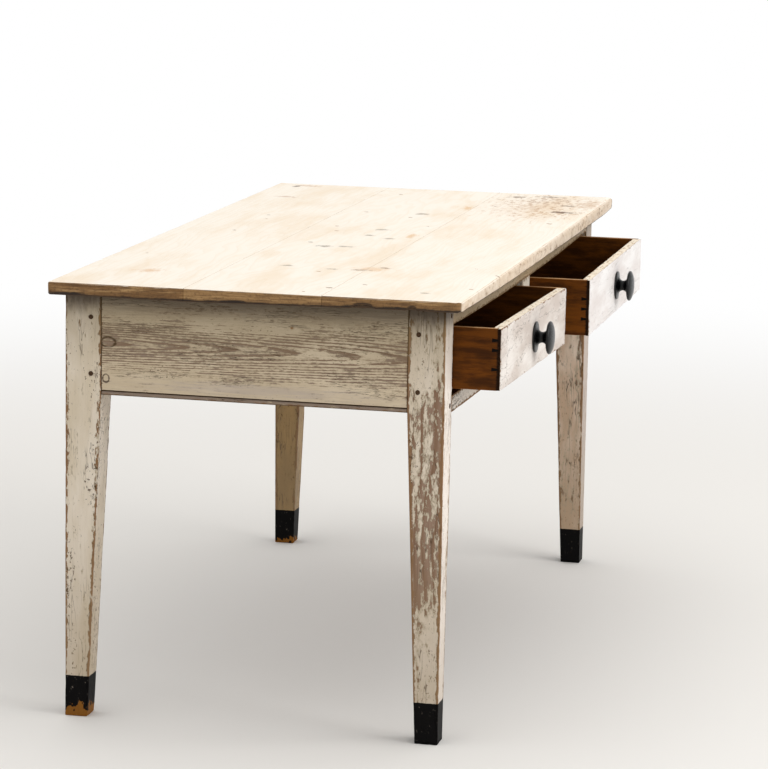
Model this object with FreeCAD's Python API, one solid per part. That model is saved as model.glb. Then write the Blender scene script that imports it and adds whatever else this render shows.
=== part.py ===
"""Pine kitchen table: scrubbed three-board top, four tapered legs, two drawers in one long side.

Millimetres. X runs along the table and +X is its right-hand end, -Y is the drawer side,
+Z is up. The origin is on the floor, under the centre of the top.
"""
import FreeCAD, Part
import math
import os

# ---- Overall sizes ------------------------------------------------------------------
table_length = 1524.0          # 5 ft
table_width = 711.0            # 28 in
table_height = 762.0           # 30 in

# ---- Top: three boards, edge to edge ------------------------------------------------
board_places = ("front", "middle", "back")
top_thickness = 18.0
top_edge_round = 3.0           # upper edge, rubbed round by scrubbing
top_corner_round = 7.0
end_overhang = 40.0            # top beyond the legs at each end
front_overhang = 35.0          # top beyond the legs on the drawer side
back_overhang = 18.0

# ---- Legs: square, tapered on the two inner faces below the aprons ------------------
leg_size = 63.0
foot_size = 40.0

# ---- Aprons: tenoned into the legs and pegged ---------------------------------------
apron_height = 178.0
apron_thickness = 22.0
apron_setback = 2.0            # apron face behind the leg face
tenon_thickness = 10.0
tenon_shoulder = 16.0          # tenon shorter than the apron, top and bottom
tenon_end_gap = 3.0            # two tenons that meet inside one leg
bead_width = 6.5               # bead along the lower edge of the end aprons
bead_round = 2.5
quirk_width = 1.6
quirk_depth = 2.0

# ---- Drawer rails: both have dropped in the middle with age --------------------------
rail_depth = 40.0
rail_setback = 1.0
top_rail_height_left = 36.0    # below the top, at the left leg
top_rail_height_middle = 47.5
top_rail_height_right = 42.5
bottom_rail_height = 29.0
bottom_rail_drop_left = 155.5  # top of the bottom rail below the underside of the top
bottom_rail_drop_middle = 163.5
bottom_rail_drop_right = 158.0
rail_tenon_thickness = 14.0
rail_tenon_shoulder = 5.0
divider_width = 68.0
divider_thickness = 22.0
divider_tenon_length = 12.0
divider_tenon_shoulder = 12.0
divider_tenon_thickness = 10.0

# ---- Pegs through the joints -----------------------------------------------------------
peg_diameter = 9.0
peg_from_shoulder = 17.5
peg_length = 26.0
upper_peg_drop = 45.0          # below the underside of the top
lower_peg_drop = 142.0

# ---- Drawers ---------------------------------------------------------------------------
space_behind_drawers = 74.0    # from the back of a shut drawer to the back apron
drawer_top_clearance = 3.0     # under the top rail, where it is tightest
drawer_rail_clearance = 2.0    # over the bottom rail
drawer_gap = 1.5               # each side, in the opening
left_drawer_lift = 12.0        # the left drawer's left side rides this high over the rail
left_drawer_open = 81.0
right_drawer_open = 113.5
front_thickness = 16.0
side_thickness = 11.0
drawer_back_thickness = 12.0
bottom_thickness = 8.0
bottom_inset = 8.0             # underside of the bottom above the drawer's lower edge
groove_depth = 5.0
groove_slack = 0.5             # at each end of the bottom board
lap_thickness = 5.5            # front of the lapped dovetails
pin_narrow = 3.0               # pin width at its thin end
pin_wide = 6.5
left_drawer_pins = (0.34, 0.65, 0.81)    # pin places, as shares of the drawer's height
right_drawer_pins = (0.30, 0.48, 0.66)
back_pins = (0.36, 0.70)
bottom_nail_count = 3
bottom_nail_diameter = 2.2
bottom_nail_length = 28.0
bottom_nail_head = 5.5
bottom_nail_head_thickness = 1.0
bottom_nail_edge = 60.0        # first nail in from the drawer's side

# ---- Knobs: turned in one piece with a spigot ---------------------------------------------
knob_diameter = 58.0
knob_rose_diameter = 55.0
knob_rose_thickness = 3.5
knob_neck_diameter = 19.0
knob_shoulder_diameter = 38.0
knob_disc_start = 23.5         # back of the outer disc, from the drawer front
knob_rim_thickness = 6.0
knob_rim_round = 1.8
knob_length = 34.5
spigot_diameter = 13.0

# ---- Runners, guides, kickers and stops ---------------------------------------------------
runner_thickness = 16.0
runner_overlap = 3.0           # runner beyond the inside of the drawer's side
running_clearance = 0.3        # drawer over runner, drawer against stop
inner_runner_gap = 1.0         # each inner runner from the table's centre line
housing_depth = 8.0            # runner and kicker ends let into rail and back apron
guide_height = 14.0
guide_width = 20.0
guide_clearance = 1.0
kicker_clearance = 2.0
kicker_overlap = 4.0
stop_length = 24.0
stop_height = 22.0

# ---- Fixings -------------------------------------------------------------------------------
block_length = 60.0
block_size = 28.0
block_offsets = (-420.0, -170.0, 170.0, 420.0)    # along the back apron and the top rail
screw_length = 32.0
screw_into_top = 12.0
screw_diameter = 4.5
screw_head_diameter = 9.0
screw_head_height = 3.0
counterbore_diameter = 10.0
kicker_screw_inset = 90.0      # from each end of a kicker
guide_nail_length = 24.0
guide_nail_diameter = 2.5
guide_nail_inset = 50.0

# ---- Planes that the pieces share -----------------------------------------------------------
under_top = table_height - top_thickness
apron_bottom = under_top - apron_height
frame_end = table_length / 2 - end_overhang
frame_front = -table_width / 2 + front_overhang
frame_back = table_width / 2 - back_overhang
between_legs = frame_end - leg_size
front_leg_back = frame_front + leg_size
back_leg_front = frame_back - leg_size
apron_inside = frame_end - apron_setback - apron_thickness
back_apron_inside = frame_back - apron_setback - apron_thickness
drawer_depth = back_apron_inside - space_behind_drawers - frame_front
tenon_start = apron_setback + (apron_thickness - tenon_thickness) / 2
tenon_length = leg_size - tenon_start - tenon_thickness - tenon_end_gap
rail_front = frame_front + rail_setback
rail_back = rail_front + rail_depth
divider_half = divider_width / 2
bottom_rail_left = under_top - bottom_rail_drop_left
bottom_rail_middle = under_top - bottom_rail_drop_middle
bottom_rail_right = under_top - bottom_rail_drop_right
top_rail_left = under_top - top_rail_height_left
top_rail_middle = under_top - top_rail_height_middle
top_rail_right = under_top - top_rail_height_right

# Heights of the drawers' lower corners, and the one height that passes under the top rail.
left_drawer_low_left = bottom_rail_left + left_drawer_lift
left_drawer_low_right = bottom_rail_middle + drawer_rail_clearance
right_drawer_low = bottom_rail_right + drawer_rail_clearance
tightest_opening = min(
    top_rail_left - left_drawer_low_left,
    top_rail_middle - left_drawer_low_right,
    top_rail_middle - right_drawer_low,
    top_rail_right - right_drawer_low,
)
drawer_height = tightest_opening - drawer_top_clearance

vector = FreeCAD.Vector
X_AXIS = vector(1, 0, 0)
Y_AXIS = vector(0, 1, 0)
Z_AXIS = vector(0, 0, 1)
pieces = {}


def box(x_span, y_span, z_span):
    """A box over three spans, each given by its two ends in any order."""
    low = vector(min(x_span), min(y_span), min(z_span))
    high = vector(max(x_span), max(y_span), max(z_span))
    return Part.makeBox(high.x - low.x, high.y - low.y, high.z - low.z, low)


def rod(start, direction, length, diameter):
    return Part.makeCylinder(diameter / 2, length, start, direction)


def cut_all(shape, tools):
    """The shape less every tool that reaches it."""
    for tool in tools:
        shape = shape.cut(tool)
    return shape


# ---- Top ------------------------------------------------------------------------------------
def whole_top():
    half_length = table_length / 2
    half_width = table_width / 2
    slab = box((-half_length, half_length), (-half_width, half_width), (under_top, table_height))
    corners = [e for e in slab.Edges if abs(e.Vertexes[0].Z - e.Vertexes[1].Z) > top_thickness / 2]
    slab = slab.makeFillet(top_corner_round, corners)
    upper = [e for e in slab.Edges if e.BoundBox.ZMin > table_height - top_thickness / 2]
    return slab.makeFillet(top_edge_round, upper)


def top_boards(screws):
    """The top sawn along its length into boards of equal width, with the screw holes."""
    top = whole_top()
    width = table_width / len(board_places)
    boards = {}
    for index, place in enumerate(board_places):
        front = -table_width / 2 + index * width
        strip = box((-table_length, table_length), (front, front + width), (0, 2 * table_height))
        boards["top_board_" + place] = top.common(strip).cut(screws)
    return boards


# ---- Legs -----------------------------------------------------------------------------------
def leg_blank(x_side, y_side):
    """Square at the top, then tapered towards its outer corner, so the outer faces are plumb."""
    corner_x = x_side * frame_end
    corner_y = frame_back if y_side > 0 else frame_front

    def section(size, height):
        inner_x = corner_x - x_side * size
        inner_y = corner_y - y_side * size
        points = [
            vector(corner_x, corner_y, height),
            vector(inner_x, corner_y, height),
            vector(inner_x, inner_y, height),
            vector(corner_x, inner_y, height),
            vector(corner_x, corner_y, height),
        ]
        return Part.makePolygon(points)

    sections = [section(foot_size, 0), section(leg_size, apron_bottom), section(leg_size, under_top)]
    return Part.makeLoft(sections, True, True)


# ---- Aprons ---------------------------------------------------------------------------------
tenon_z = (apron_bottom + tenon_shoulder, under_top - tenon_shoulder)


def end_apron(x_side):
    """Board between a front leg and a back leg, with a bead along its lower outer edge."""
    outside = frame_end - apron_setback
    face = x_side * outside
    board = box((face, x_side * apron_inside), (front_leg_back, back_leg_front), (apron_bottom, under_top))
    lower = [
        e for e in board.Edges
        if e.BoundBox.ZMax < apron_bottom + bead_width and abs(e.BoundBox.Center.x - face) < quirk_depth
    ]
    board = board.makeFillet(bead_round, lower)
    quirk_z = apron_bottom + bead_width
    quirk = box(
        (face, face - x_side * quirk_depth),
        (front_leg_back, back_leg_front),
        (quirk_z, quirk_z + quirk_width),
    )
    tenon_x = x_side * (frame_end - tenon_start)
    tenon = box(
        (tenon_x, tenon_x - x_side * tenon_thickness),
        (front_leg_back - tenon_length, back_leg_front + tenon_length),
        tenon_z,
    )
    return board.cut(quirk).fuse(tenon).removeSplitter()


def back_apron():
    face = frame_back - apron_setback
    board = box((-between_legs, between_legs), (back_apron_inside, face), (apron_bottom, under_top))
    reach = between_legs + tenon_length
    tenon_y = frame_back - tenon_start
    tenon = box((-reach, reach), (tenon_y - tenon_thickness, tenon_y), tenon_z)
    return board.fuse(tenon).removeSplitter()


# ---- Drawer rails and divider ---------------------------------------------------------------
def dropped_line(z_left, z_middle, z_right):
    """One long edge of a rail: an arc from leg to leg through its lowest point."""
    left = vector(-between_legs, rail_front, z_left)
    middle = vector(0, rail_front, z_middle)
    right = vector(between_legs, rail_front, z_right)
    return Part.Arc(left, middle, right).toShape()


def rail(lower_edge, upper_edge):
    """A rail between the front legs, from its two long edges, with a tenon at each end."""
    low_left, low_right = [v.Point for v in lower_edge.Vertexes]
    high_left, high_right = [v.Point for v in upper_edge.Vertexes]
    ends = [Part.makeLine(low_right, high_right), Part.makeLine(high_left, low_left)]
    outline = Part.Wire(Part.__sortEdges__([lower_edge, upper_edge] + ends))
    body = Part.Face(outline).extrude(vector(0, rail_depth, 0))
    tenon_y = rail_front + (rail_depth - rail_tenon_thickness) / 2
    for side, low, high in ((-1, low_left, high_left), (1, low_right, high_right)):
        tenon = box(
            (side * between_legs, side * (between_legs + tenon_length)),
            (tenon_y, tenon_y + rail_tenon_thickness),
            (low.z + rail_tenon_shoulder, high.z - rail_tenon_shoulder),
        )
        body = body.fuse(tenon)
    return body.removeSplitter()


def top_rail():
    lower = dropped_line(top_rail_left, top_rail_middle, top_rail_right)
    left = vector(-between_legs, rail_front, under_top)
    right = vector(between_legs, rail_front, under_top)
    return rail(lower, Part.makeLine(left, right))


def bottom_rail():
    heights = (bottom_rail_left, bottom_rail_middle, bottom_rail_right)
    lower = dropped_line(*[height - bottom_rail_height for height in heights])
    return rail(lower, dropped_line(*heights))


def divider_tenons():
    """The upright between the drawers has one stub tenon into each rail."""
    half = divider_half - divider_tenon_shoulder
    front = rail_front + (divider_thickness - divider_tenon_thickness) / 2
    low = bottom_rail_middle - divider_tenon_length
    high = top_rail_middle + divider_tenon_length
    return box((-half, half), (front, front + divider_tenon_thickness), (low, high))


def drawer_divider(lower_rail, upper_rail):
    post = box(
        (-divider_half, divider_half),
        (rail_front, rail_front + divider_thickness),
        (bottom_rail_middle - bottom_rail_height / 2, top_rail_middle + top_rail_height_middle / 2),
    )
    return post.cut(lower_rail).cut(upper_rail).fuse(divider_tenons()).removeSplitter()


# ---- Pegs -----------------------------------------------------------------------------------
def apron_pegs():
    """Two pegs at each apron joint, driven in from the outer face of the leg."""
    pegs = []
    drops = (upper_peg_drop, lower_peg_drop)
    y_places = (front_leg_back - peg_from_shoulder, back_leg_front + peg_from_shoulder)
    for drop in drops:
        for x_side in (-1, 1):
            for y in y_places:
                start = vector(x_side * frame_end, y, under_top - drop)
                pegs.append(rod(start, X_AXIS * -x_side, peg_length, peg_diameter))
            x = x_side * (between_legs + peg_from_shoulder)
            start = vector(x, frame_back, under_top - drop)
            pegs.append(rod(start, Y_AXIS * -1, peg_length, peg_diameter))
    return pegs


def rail_pegs():
    """One peg at each end of each drawer rail, from the front of the leg."""
    pegs = []
    ends = (
        (-1, under_top - top_rail_height_left / 2),
        (1, under_top - top_rail_height_right / 2),
        (-1, bottom_rail_left - bottom_rail_height / 2),
        (1, bottom_rail_right - bottom_rail_height / 2),
    )
    for side, z in ends:
        start = vector(side * (between_legs + peg_from_shoulder), frame_front, z)
        pegs.append(rod(start, Y_AXIS, rail_setback + peg_length, peg_diameter))
    return pegs


# ---- Drawers --------------------------------------------------------------------------------
class DrawerPlace:
    """Where a drawer sits: its corners in the table, its tilt and its own width."""

    def __init__(self, opening_left, opening_right, low_left, low_right, opened):
        opening = opening_right - opening_left
        self.tilt = math.atan2(low_left - low_right, opening)
        lean = drawer_height * math.sin(self.tilt)
        self.width = (opening - 2 * drawer_gap - lean) / math.cos(self.tilt)
        self.left = opening_left + drawer_gap
        self.low_left = low_left
        self.front = frame_front - opened

    def placed(self, shape):
        """Moves a piece from the drawer's own frame to the table's."""
        shape = shape.copy()
        shape.rotate(vector(0, 0, 0), Y_AXIS, math.degrees(self.tilt))
        shape.translate(vector(self.left, self.front, self.low_left))
        return shape

    def corner(self, across, up):
        """A point of the drawer's cross-section, in the table's x and z."""
        x = self.left + across * math.cos(self.tilt) + up * math.sin(self.tilt)
        z = self.low_left - across * math.sin(self.tilt) + up * math.cos(self.tilt)
        return x, z


def pins(shares, x_span, thin_y, wide_y):
    """Dovetail pins between the tails of a side, and half pins at its upper and lower edge."""
    solids = []
    for share in (0.0,) + tuple(shares) + (1.0,):
        z = share * drawer_height
        outline = Part.makePolygon([
            vector(x_span[0], thin_y, z - pin_narrow / 2),
            vector(x_span[0], thin_y, z + pin_narrow / 2),
            vector(x_span[0], wide_y, z + pin_wide / 2),
            vector(x_span[0], wide_y, z - pin_wide / 2),
            vector(x_span[0], thin_y, z - pin_narrow / 2),
        ])
        solids.append(Part.Face(outline).extrude(vector(x_span[1] - x_span[0], 0, 0)))
    within = box(x_span, (thin_y, wide_y), (0, drawer_height))
    return Part.makeCompound(solids).common(within)


def knob(x, z):
    """Turned knob on the drawer's front face, its axis along -Y."""
    def turned(distance, diameter):
        return vector(x + diameter / 2, -distance, z)

    rim_end = knob_disc_start + knob_rim_thickness
    neck_middle = (knob_rose_thickness + knob_disc_start) / 2
    flat_rim = knob_diameter - 2 * knob_rim_round
    dome_rise = knob_length - rim_end
    dome_radius = ((flat_rim / 2) ** 2 + dome_rise ** 2) / (2 * dome_rise)
    half_angle = math.asin(flat_rim / 2 / dome_radius) / 2
    dome_centre = knob_length - dome_radius
    dome_middle = turned(
        dome_centre + dome_radius * math.cos(half_angle),
        2 * dome_radius * math.sin(half_angle),
    )
    edges = [
        Part.makeLine(turned(-front_thickness, 0), turned(-front_thickness, spigot_diameter)),
        Part.makeLine(turned(-front_thickness, spigot_diameter), turned(0, spigot_diameter)),
        Part.makeLine(turned(0, spigot_diameter), turned(0, knob_rose_diameter)),
        Part.makeLine(turned(0, knob_rose_diameter), turned(knob_rose_thickness, knob_rose_diameter)),
        Part.makeLine(
            turned(knob_rose_thickness, knob_rose_diameter),
            turned(knob_rose_thickness, knob_shoulder_diameter),
        ),
        Part.Arc(
            turned(knob_rose_thickness, knob_shoulder_diameter),
            turned(neck_middle, knob_neck_diameter),
            turned(knob_disc_start, knob_shoulder_diameter),
        ).toShape(),
        Part.makeLine(
            turned(knob_disc_start, knob_shoulder_diameter),
            turned(knob_disc_start, flat_rim),
        ),
        Part.Arc(
            turned(knob_disc_start, flat_rim),
            turned((knob_disc_start + rim_end) / 2, knob_diameter),
            turned(rim_end, flat_rim),
        ).toShape(),
        Part.Arc(turned(rim_end, flat_rim), dome_middle, turned(knob_length, 0)).toShape(),
        Part.makeLine(turned(knob_length, 0), turned(-front_thickness, 0)),
    ]
    outline = Part.Face(Part.Wire(edges))
    return outline.revolve(vector(x, 0, z), Y_AXIS, 360)


def bottom_nails(width):
    """Nails driven up through the rear edge of the bottom into the drawer's back."""
    nails = []
    step = (width - 2 * bottom_nail_edge) / (bottom_nail_count - 1)
    y = drawer_depth - drawer_back_thickness / 2
    for index in range(bottom_nail_count):
        head = vector(bottom_nail_edge + index * step, y, bottom_inset)
        shank = rod(head, Z_AXIS, bottom_nail_length, bottom_nail_diameter)
        nails.append(shank.fuse(rod(head, Z_AXIS, bottom_nail_head_thickness, bottom_nail_head)))
    return nails


def drawer(name, place, front_pin_shares):
    """One drawer: lapped dovetails at the front, through dovetails at the back."""
    width = place.width
    height = drawer_height
    depth = drawer_depth
    bottom_top = bottom_inset + bottom_thickness
    back_inside = depth - drawer_back_thickness
    side_spans = {"left": (0, side_thickness), "right": (width - side_thickness, width)}
    side_inset = side_thickness - groove_depth + groove_slack
    bottom = box(
        (side_inset, width - side_inset),
        (front_thickness - groove_depth + groove_slack, depth),
        (bottom_inset, bottom_top),
    )
    groove = box(
        (side_thickness - groove_depth, width - side_thickness + groove_depth),
        (front_thickness - groove_depth, depth),
        (bottom_inset, bottom_top),
    )
    nails = bottom_nails(width)
    turned_knob = knob(width / 2, height / 2)
    spigot_hole = rod(vector(width / 2, 0, height / 2), Y_AXIS, front_thickness, spigot_diameter)

    front = box((0, width), (0, front_thickness), (0, height)).cut(groove).cut(spigot_hole)
    back = box((side_thickness, width - side_thickness), (back_inside, depth), (bottom_top, height))
    made = {}
    for side, span in side_spans.items():
        front_pins = pins(front_pin_shares, span, lap_thickness, front_thickness)
        rear_pins = pins(back_pins, span, depth, back_inside)
        rear_pins = rear_pins.common(box(span, (back_inside, depth), (bottom_top, height)))
        board = box(span, (lap_thickness, depth), (0, height))
        made["side_" + side] = board.cut(groove).cut(front_pins).cut(rear_pins)
        socket = box(span, (lap_thickness, front_thickness), (0, height))
        front = front.cut(socket).fuse(front_pins)
        back = back.fuse(rear_pins)
    made["front"] = front.removeSplitter()
    made["back"] = cut_all(back.removeSplitter(), nails)
    made["bottom"] = cut_all(bottom, nails)
    made["knob"] = turned_knob
    made["nails"] = Part.makeCompound(nails)
    for part_name, shape in made.items():
        pieces[name + "_" + part_name] = place.placed(shape)


left_place = DrawerPlace(
    -between_legs, -divider_half, left_drawer_low_left, left_drawer_low_right, left_drawer_open
)
right_place = DrawerPlace(
    divider_half, between_legs, right_drawer_low, right_drawer_low, right_drawer_open
)


# ---- Runners, guides, kickers and stops -----------------------------------------------------
run_y = (rail_back - housing_depth, back_apron_inside + housing_depth)


class SideRun:
    """The strips that carry and guide one side of one drawer."""

    def __init__(self, place, side):
        across = (0, side_thickness) if side < 0 else (place.width - side_thickness, place.width)
        corners = [place.corner(a, 0) for a in across]
        self.side = side
        self.outer_face = corners[0][0] if side < 0 else corners[1][0]
        self.inner_face = corners[1][0] if side < 0 else corners[0][0]
        self.runner_top = min(z for _, z in corners) - running_clearance
        self.drawer_top = max(place.corner(a, drawer_height)[1] for a in across)
        lean = guide_height * math.sin(place.tilt)
        self.guide_face = self.outer_face + side * guide_clearance + max(0, side * lean) * side
        self.closed_back = frame_front + drawer_depth

    def runner(self, far_edge):
        near_edge = self.inner_face - self.side * runner_overlap
        z_span = (self.runner_top - runner_thickness, self.runner_top)
        return box((near_edge, far_edge), run_y, z_span)

    def guide(self, far_edge):
        z_span = (self.runner_top, self.runner_top + guide_height)
        return box((self.guide_face, far_edge), (front_leg_back, back_leg_front), z_span)

    def guide_nails(self, far_edge):
        x = (self.guide_face + far_edge) / 2
        top = self.runner_top + guide_height
        places = (front_leg_back + guide_nail_inset, back_leg_front - guide_nail_inset)
        return [
            rod(vector(x, y, top), Z_AXIS * -1, guide_nail_length, guide_nail_diameter)
            for y in places
        ]

    def stop(self):
        """Block on the runner that the drawer's back meets when it is shut."""
        y = self.closed_back + running_clearance
        z_span = (self.runner_top, self.runner_top + stop_height)
        return box((self.outer_face, self.inner_face), (y, y + stop_length), z_span)


side_runs = {
    "left_outer": (SideRun(left_place, -1), -apron_inside),
    "left_inner": (SideRun(left_place, 1), -inner_runner_gap),
    "right_inner": (SideRun(right_place, -1), inner_runner_gap),
    "right_outer": (SideRun(right_place, 1), apron_inside),
}


def inner_guide_edge(run):
    return run.guide_face + run.side * guide_width


def kicker(x_span, drawer_top):
    """Strip under the top that keeps an open drawer from tipping."""
    return box(x_span, run_y, (drawer_top + kicker_clearance, under_top))


def kickers():
    runs = {key: run for key, (run, _) in side_runs.items()}
    inner_left = runs["left_inner"]
    inner_right = runs["right_inner"]
    return {
        "kicker_left": kicker(
            (-apron_inside, runs["left_outer"].inner_face + kicker_overlap),
            runs["left_outer"].drawer_top,
        ),
        "kicker_middle": kicker(
            (inner_left.inner_face - kicker_overlap, inner_right.inner_face + kicker_overlap),
            max(inner_left.drawer_top, inner_right.drawer_top),
        ),
        "kicker_right": kicker(
            (runs["right_outer"].inner_face - kicker_overlap, apron_inside),
            runs["right_outer"].drawer_top,
        ),
    }


# ---- Blocks and screws that hold the top ----------------------------------------------------
def fixing_blocks():
    z_span = (under_top - block_size, under_top)
    blocks = []
    for x in block_offsets:
        x_span = (x - block_length / 2, x + block_length / 2)
        blocks.append(box(x_span, (back_apron_inside - block_size, back_apron_inside), z_span))
        blocks.append(box(x_span, (rail_back, rail_back + block_size), z_span))
    return blocks


def screw_places(kicker_shapes):
    """Centres of the screws: one in each block, two in each kicker."""
    places = []
    for x in block_offsets:
        places.append((x, back_apron_inside - block_size / 2))
        places.append((x, rail_back + block_size / 2))
    for shape in kicker_shapes:
        x = shape.BoundBox.Center.x
        places.append((x, front_leg_back + kicker_screw_inset))
        places.append((x, back_leg_front - kicker_screw_inset))
    return places


def screw(x, y):
    head_z = under_top + screw_into_top - screw_length
    shank = rod(vector(x, y, head_z), Z_AXIS, screw_length, screw_diameter)
    return shank.fuse(rod(vector(x, y, head_z), Z_AXIS, screw_head_height, screw_head_diameter))


def counterbore(x, y):
    head_top = under_top + screw_into_top - screw_length + screw_head_height
    depth = head_top - bottom_rail_middle
    return rod(vector(x, y, bottom_rail_middle), Z_AXIS, depth, counterbore_diameter)


# ---- Fitting the frame together -------------------------------------------------------------
legs = {
    "leg_front_left": leg_blank(-1, -1),
    "leg_front_right": leg_blank(1, -1),
    "leg_back_left": leg_blank(-1, 1),
    "leg_back_right": leg_blank(1, 1),
}
aprons = {
    "end_apron_left": end_apron(-1),
    "end_apron_right": end_apron(1),
    "back_apron": back_apron(),
}
plain_rails = {"top_rail": top_rail(), "bottom_rail": bottom_rail()}
divider = drawer_divider(plain_rails["bottom_rail"], plain_rails["top_rail"])
into_aprons = apron_pegs()
into_rails = rail_pegs()
leg_shapes = list(legs.values())

runners = {}
guides = {}
guide_nail_list = []
stops = []
for key, (run, runner_edge) in side_runs.items():
    inner = key.endswith("inner")
    guide_edge = inner_guide_edge(run) if inner else runner_edge
    nails = run.guide_nails(guide_edge)
    guide_nail_list += nails
    runners["runner_" + key] = cut_all(run.runner(runner_edge), leg_shapes + nails)
    guides["guide_" + key] = cut_all(run.guide(guide_edge), nails)
    stops.append(run.stop())

kicker_blanks = {name: cut_all(shape, leg_shapes) for name, shape in kickers().items()}
places_of_screws = screw_places(kicker_blanks.values())
screws = Part.makeCompound([screw(x, y) for x, y in places_of_screws])
counterbores = Part.makeCompound([counterbore(x, y) for x, y in places_of_screws])

let_in = list(runners.values()) + list(kicker_blanks.values())
for name, shape in plain_rails.items():
    pieces[name] = cut_all(shape, into_rails + let_in).cut(divider)
for name, shape in aprons.items():
    pieces[name] = cut_all(shape, into_aprons + (let_in if name == "back_apron" else []))
joints_in_legs = list(aprons.values()) + list(plain_rails.values()) + into_aprons + into_rails
for name, shape in legs.items():
    pieces[name] = cut_all(shape, joints_in_legs)
for name, shape in kicker_blanks.items():
    pieces[name] = shape.cut(counterbores).cut(screws)

pieces.update(top_boards(screws))
pieces.update(runners)
pieces.update(guides)
pieces["drawer_divider"] = divider
pieces["fixing_blocks"] = Part.makeCompound(fixing_blocks()).cut(counterbores).cut(screws)
pieces["top_screws"] = screws
pieces["apron_pegs"] = Part.makeCompound(into_aprons)
pieces["rail_pegs"] = Part.makeCompound(into_rails)
pieces["guide_nails"] = Part.makeCompound(guide_nail_list)
pieces["drawer_stops"] = Part.makeCompound(stops)
drawer("left_drawer", left_place, left_drawer_pins)
drawer("right_drawer", right_place, right_drawer_pins)

os.makedirs("parts", exist_ok=True)
for name, shape in sorted(pieces.items()):
    shape.exportStep(os.path.join("parts", name + ".step"))
    print(name, len(shape.Solids), "solids", round(shape.Volume / 1000, 1), "cm3", shape.isValid())
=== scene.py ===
"""Old painted pine kitchen table with a scrubbed top and two drawers, dressed round its CAD frame.

Metres, in the frame's own axes: X along the table, -Y the drawer side, +Z up, floor at zero.
"""

import math

import bmesh
import bpy
import numpy as np
from mathutils import Matrix, Vector


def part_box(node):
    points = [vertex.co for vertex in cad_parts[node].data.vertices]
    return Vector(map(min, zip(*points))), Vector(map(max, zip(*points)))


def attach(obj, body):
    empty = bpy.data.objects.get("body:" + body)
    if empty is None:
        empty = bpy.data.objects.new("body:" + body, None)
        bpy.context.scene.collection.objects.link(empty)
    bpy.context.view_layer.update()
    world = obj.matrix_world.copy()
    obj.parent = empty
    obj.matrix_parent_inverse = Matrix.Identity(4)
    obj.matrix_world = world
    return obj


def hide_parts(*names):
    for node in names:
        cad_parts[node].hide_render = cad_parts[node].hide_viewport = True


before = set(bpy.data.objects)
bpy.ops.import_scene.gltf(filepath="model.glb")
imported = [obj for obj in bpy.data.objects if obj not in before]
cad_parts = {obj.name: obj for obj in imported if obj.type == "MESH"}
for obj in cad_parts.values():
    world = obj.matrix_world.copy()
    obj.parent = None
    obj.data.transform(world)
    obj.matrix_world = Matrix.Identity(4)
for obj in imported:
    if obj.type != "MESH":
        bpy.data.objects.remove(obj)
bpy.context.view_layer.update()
mm = 0.001


# ---- Camera -----------------------------------------------------------------------------
# A long lens looks along the table from its left-hand end, a little above the top.
# The focal length is given in pixels of a picture 769 pixels high.
picture_height = 769
focal_pixels = 3316.0
camera_place = Vector((-6.0004, -1.4295, 1.5779))
camera_yaw = math.radians(12.93)
camera_pitch = math.radians(10.11)
camera_roll = math.radians(1.01)


def placed(name, data):
    """A new object that holds the data, linked into the scene."""
    thing = bpy.data.objects.new(name, data)
    bpy.context.scene.collection.objects.link(thing)
    return thing


ahead = Vector((
    math.cos(camera_yaw) * math.cos(camera_pitch),
    math.sin(camera_yaw) * math.cos(camera_pitch),
    -math.sin(camera_pitch),
))
level_right = ahead.cross(Vector((0, 0, 1))).normalized()
level_up = level_right.cross(ahead)
picture_right = math.cos(camera_roll) * level_right + math.sin(camera_roll) * level_up
picture_up = math.cos(camera_roll) * level_up - math.sin(camera_roll) * level_right

lens = bpy.data.cameras.new("camera")
lens.sensor_width = 36.0
lens.lens = lens.sensor_width * focal_pixels / picture_height
lens.clip_end = 200.0
camera = placed("camera", lens)
camera_turn = Matrix((picture_right, picture_up, -ahead)).transposed().to_4x4()
camera.matrix_world = Matrix.Translation(camera_place) @ camera_turn
bpy.context.scene.camera = camera
bpy.context.scene.view_settings.view_transform = "Standard"


# ---- Floor and light --------------------------------------------------------------------
# A plain pale floor that runs out to white, under a white sky that is brightest overhead. One
# large soft lamp stands low on the drawer side, and reaches in under the top's overhang.
floor_radius = 30.0
floor_fade = (1.6, 4.5)        # where the floor starts and ends turning white, from its middle
sky_horizon = 0.22
sky_zenith = 1.28
lamp_place = Vector((-0.7, -4.4, 2.9))
lamp_target = Vector((0, 0, 0.6))
lamp_size = 3.2
lamp_power = 100.0

MATH = "ShaderNodeMath"
RANGE = "ShaderNodeMapRange"
SEPARATE = "ShaderNodeSeparateXYZ"
VECTOR = "ShaderNodeVectorMath"


def colour(hex_code):
    """An sRGB hex colour as linear red, green, blue and alpha."""
    channels = [int(hex_code[i:i + 2], 16) / 255 for i in (1, 3, 5)]
    return [c / 12.92 if c <= 0.04045 else ((c + 0.055) / 1.055) ** 2.4 for c in channels] + [1.0]


def add(tree, kind, inputs, out=0, **settings):
    """Adds a node with its settings, gives each input a value or a link, and returns one output."""
    node = tree.nodes.new(kind)
    for key, value in settings.items():
        setattr(node, key, value)
    for key, value in inputs.items():
        if isinstance(value, bpy.types.NodeSocket):
            tree.links.new(value, node.inputs[key])
        else:
            node.inputs[key].default_value = value
    return node if out is None else node.outputs[out]


def emptied(owner):
    """The cleared node tree of a new material or world."""
    owner.use_nodes = True
    owner.node_tree.nodes.clear()
    return owner.node_tree


def step(tree, value, low, high):
    """A smooth step from 0 at low to 1 at high."""
    inputs = {"Value": value, "From Min": low, "From Max": high}
    return add(tree, RANGE, inputs, interpolation_type="SMOOTHSTEP")


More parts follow.
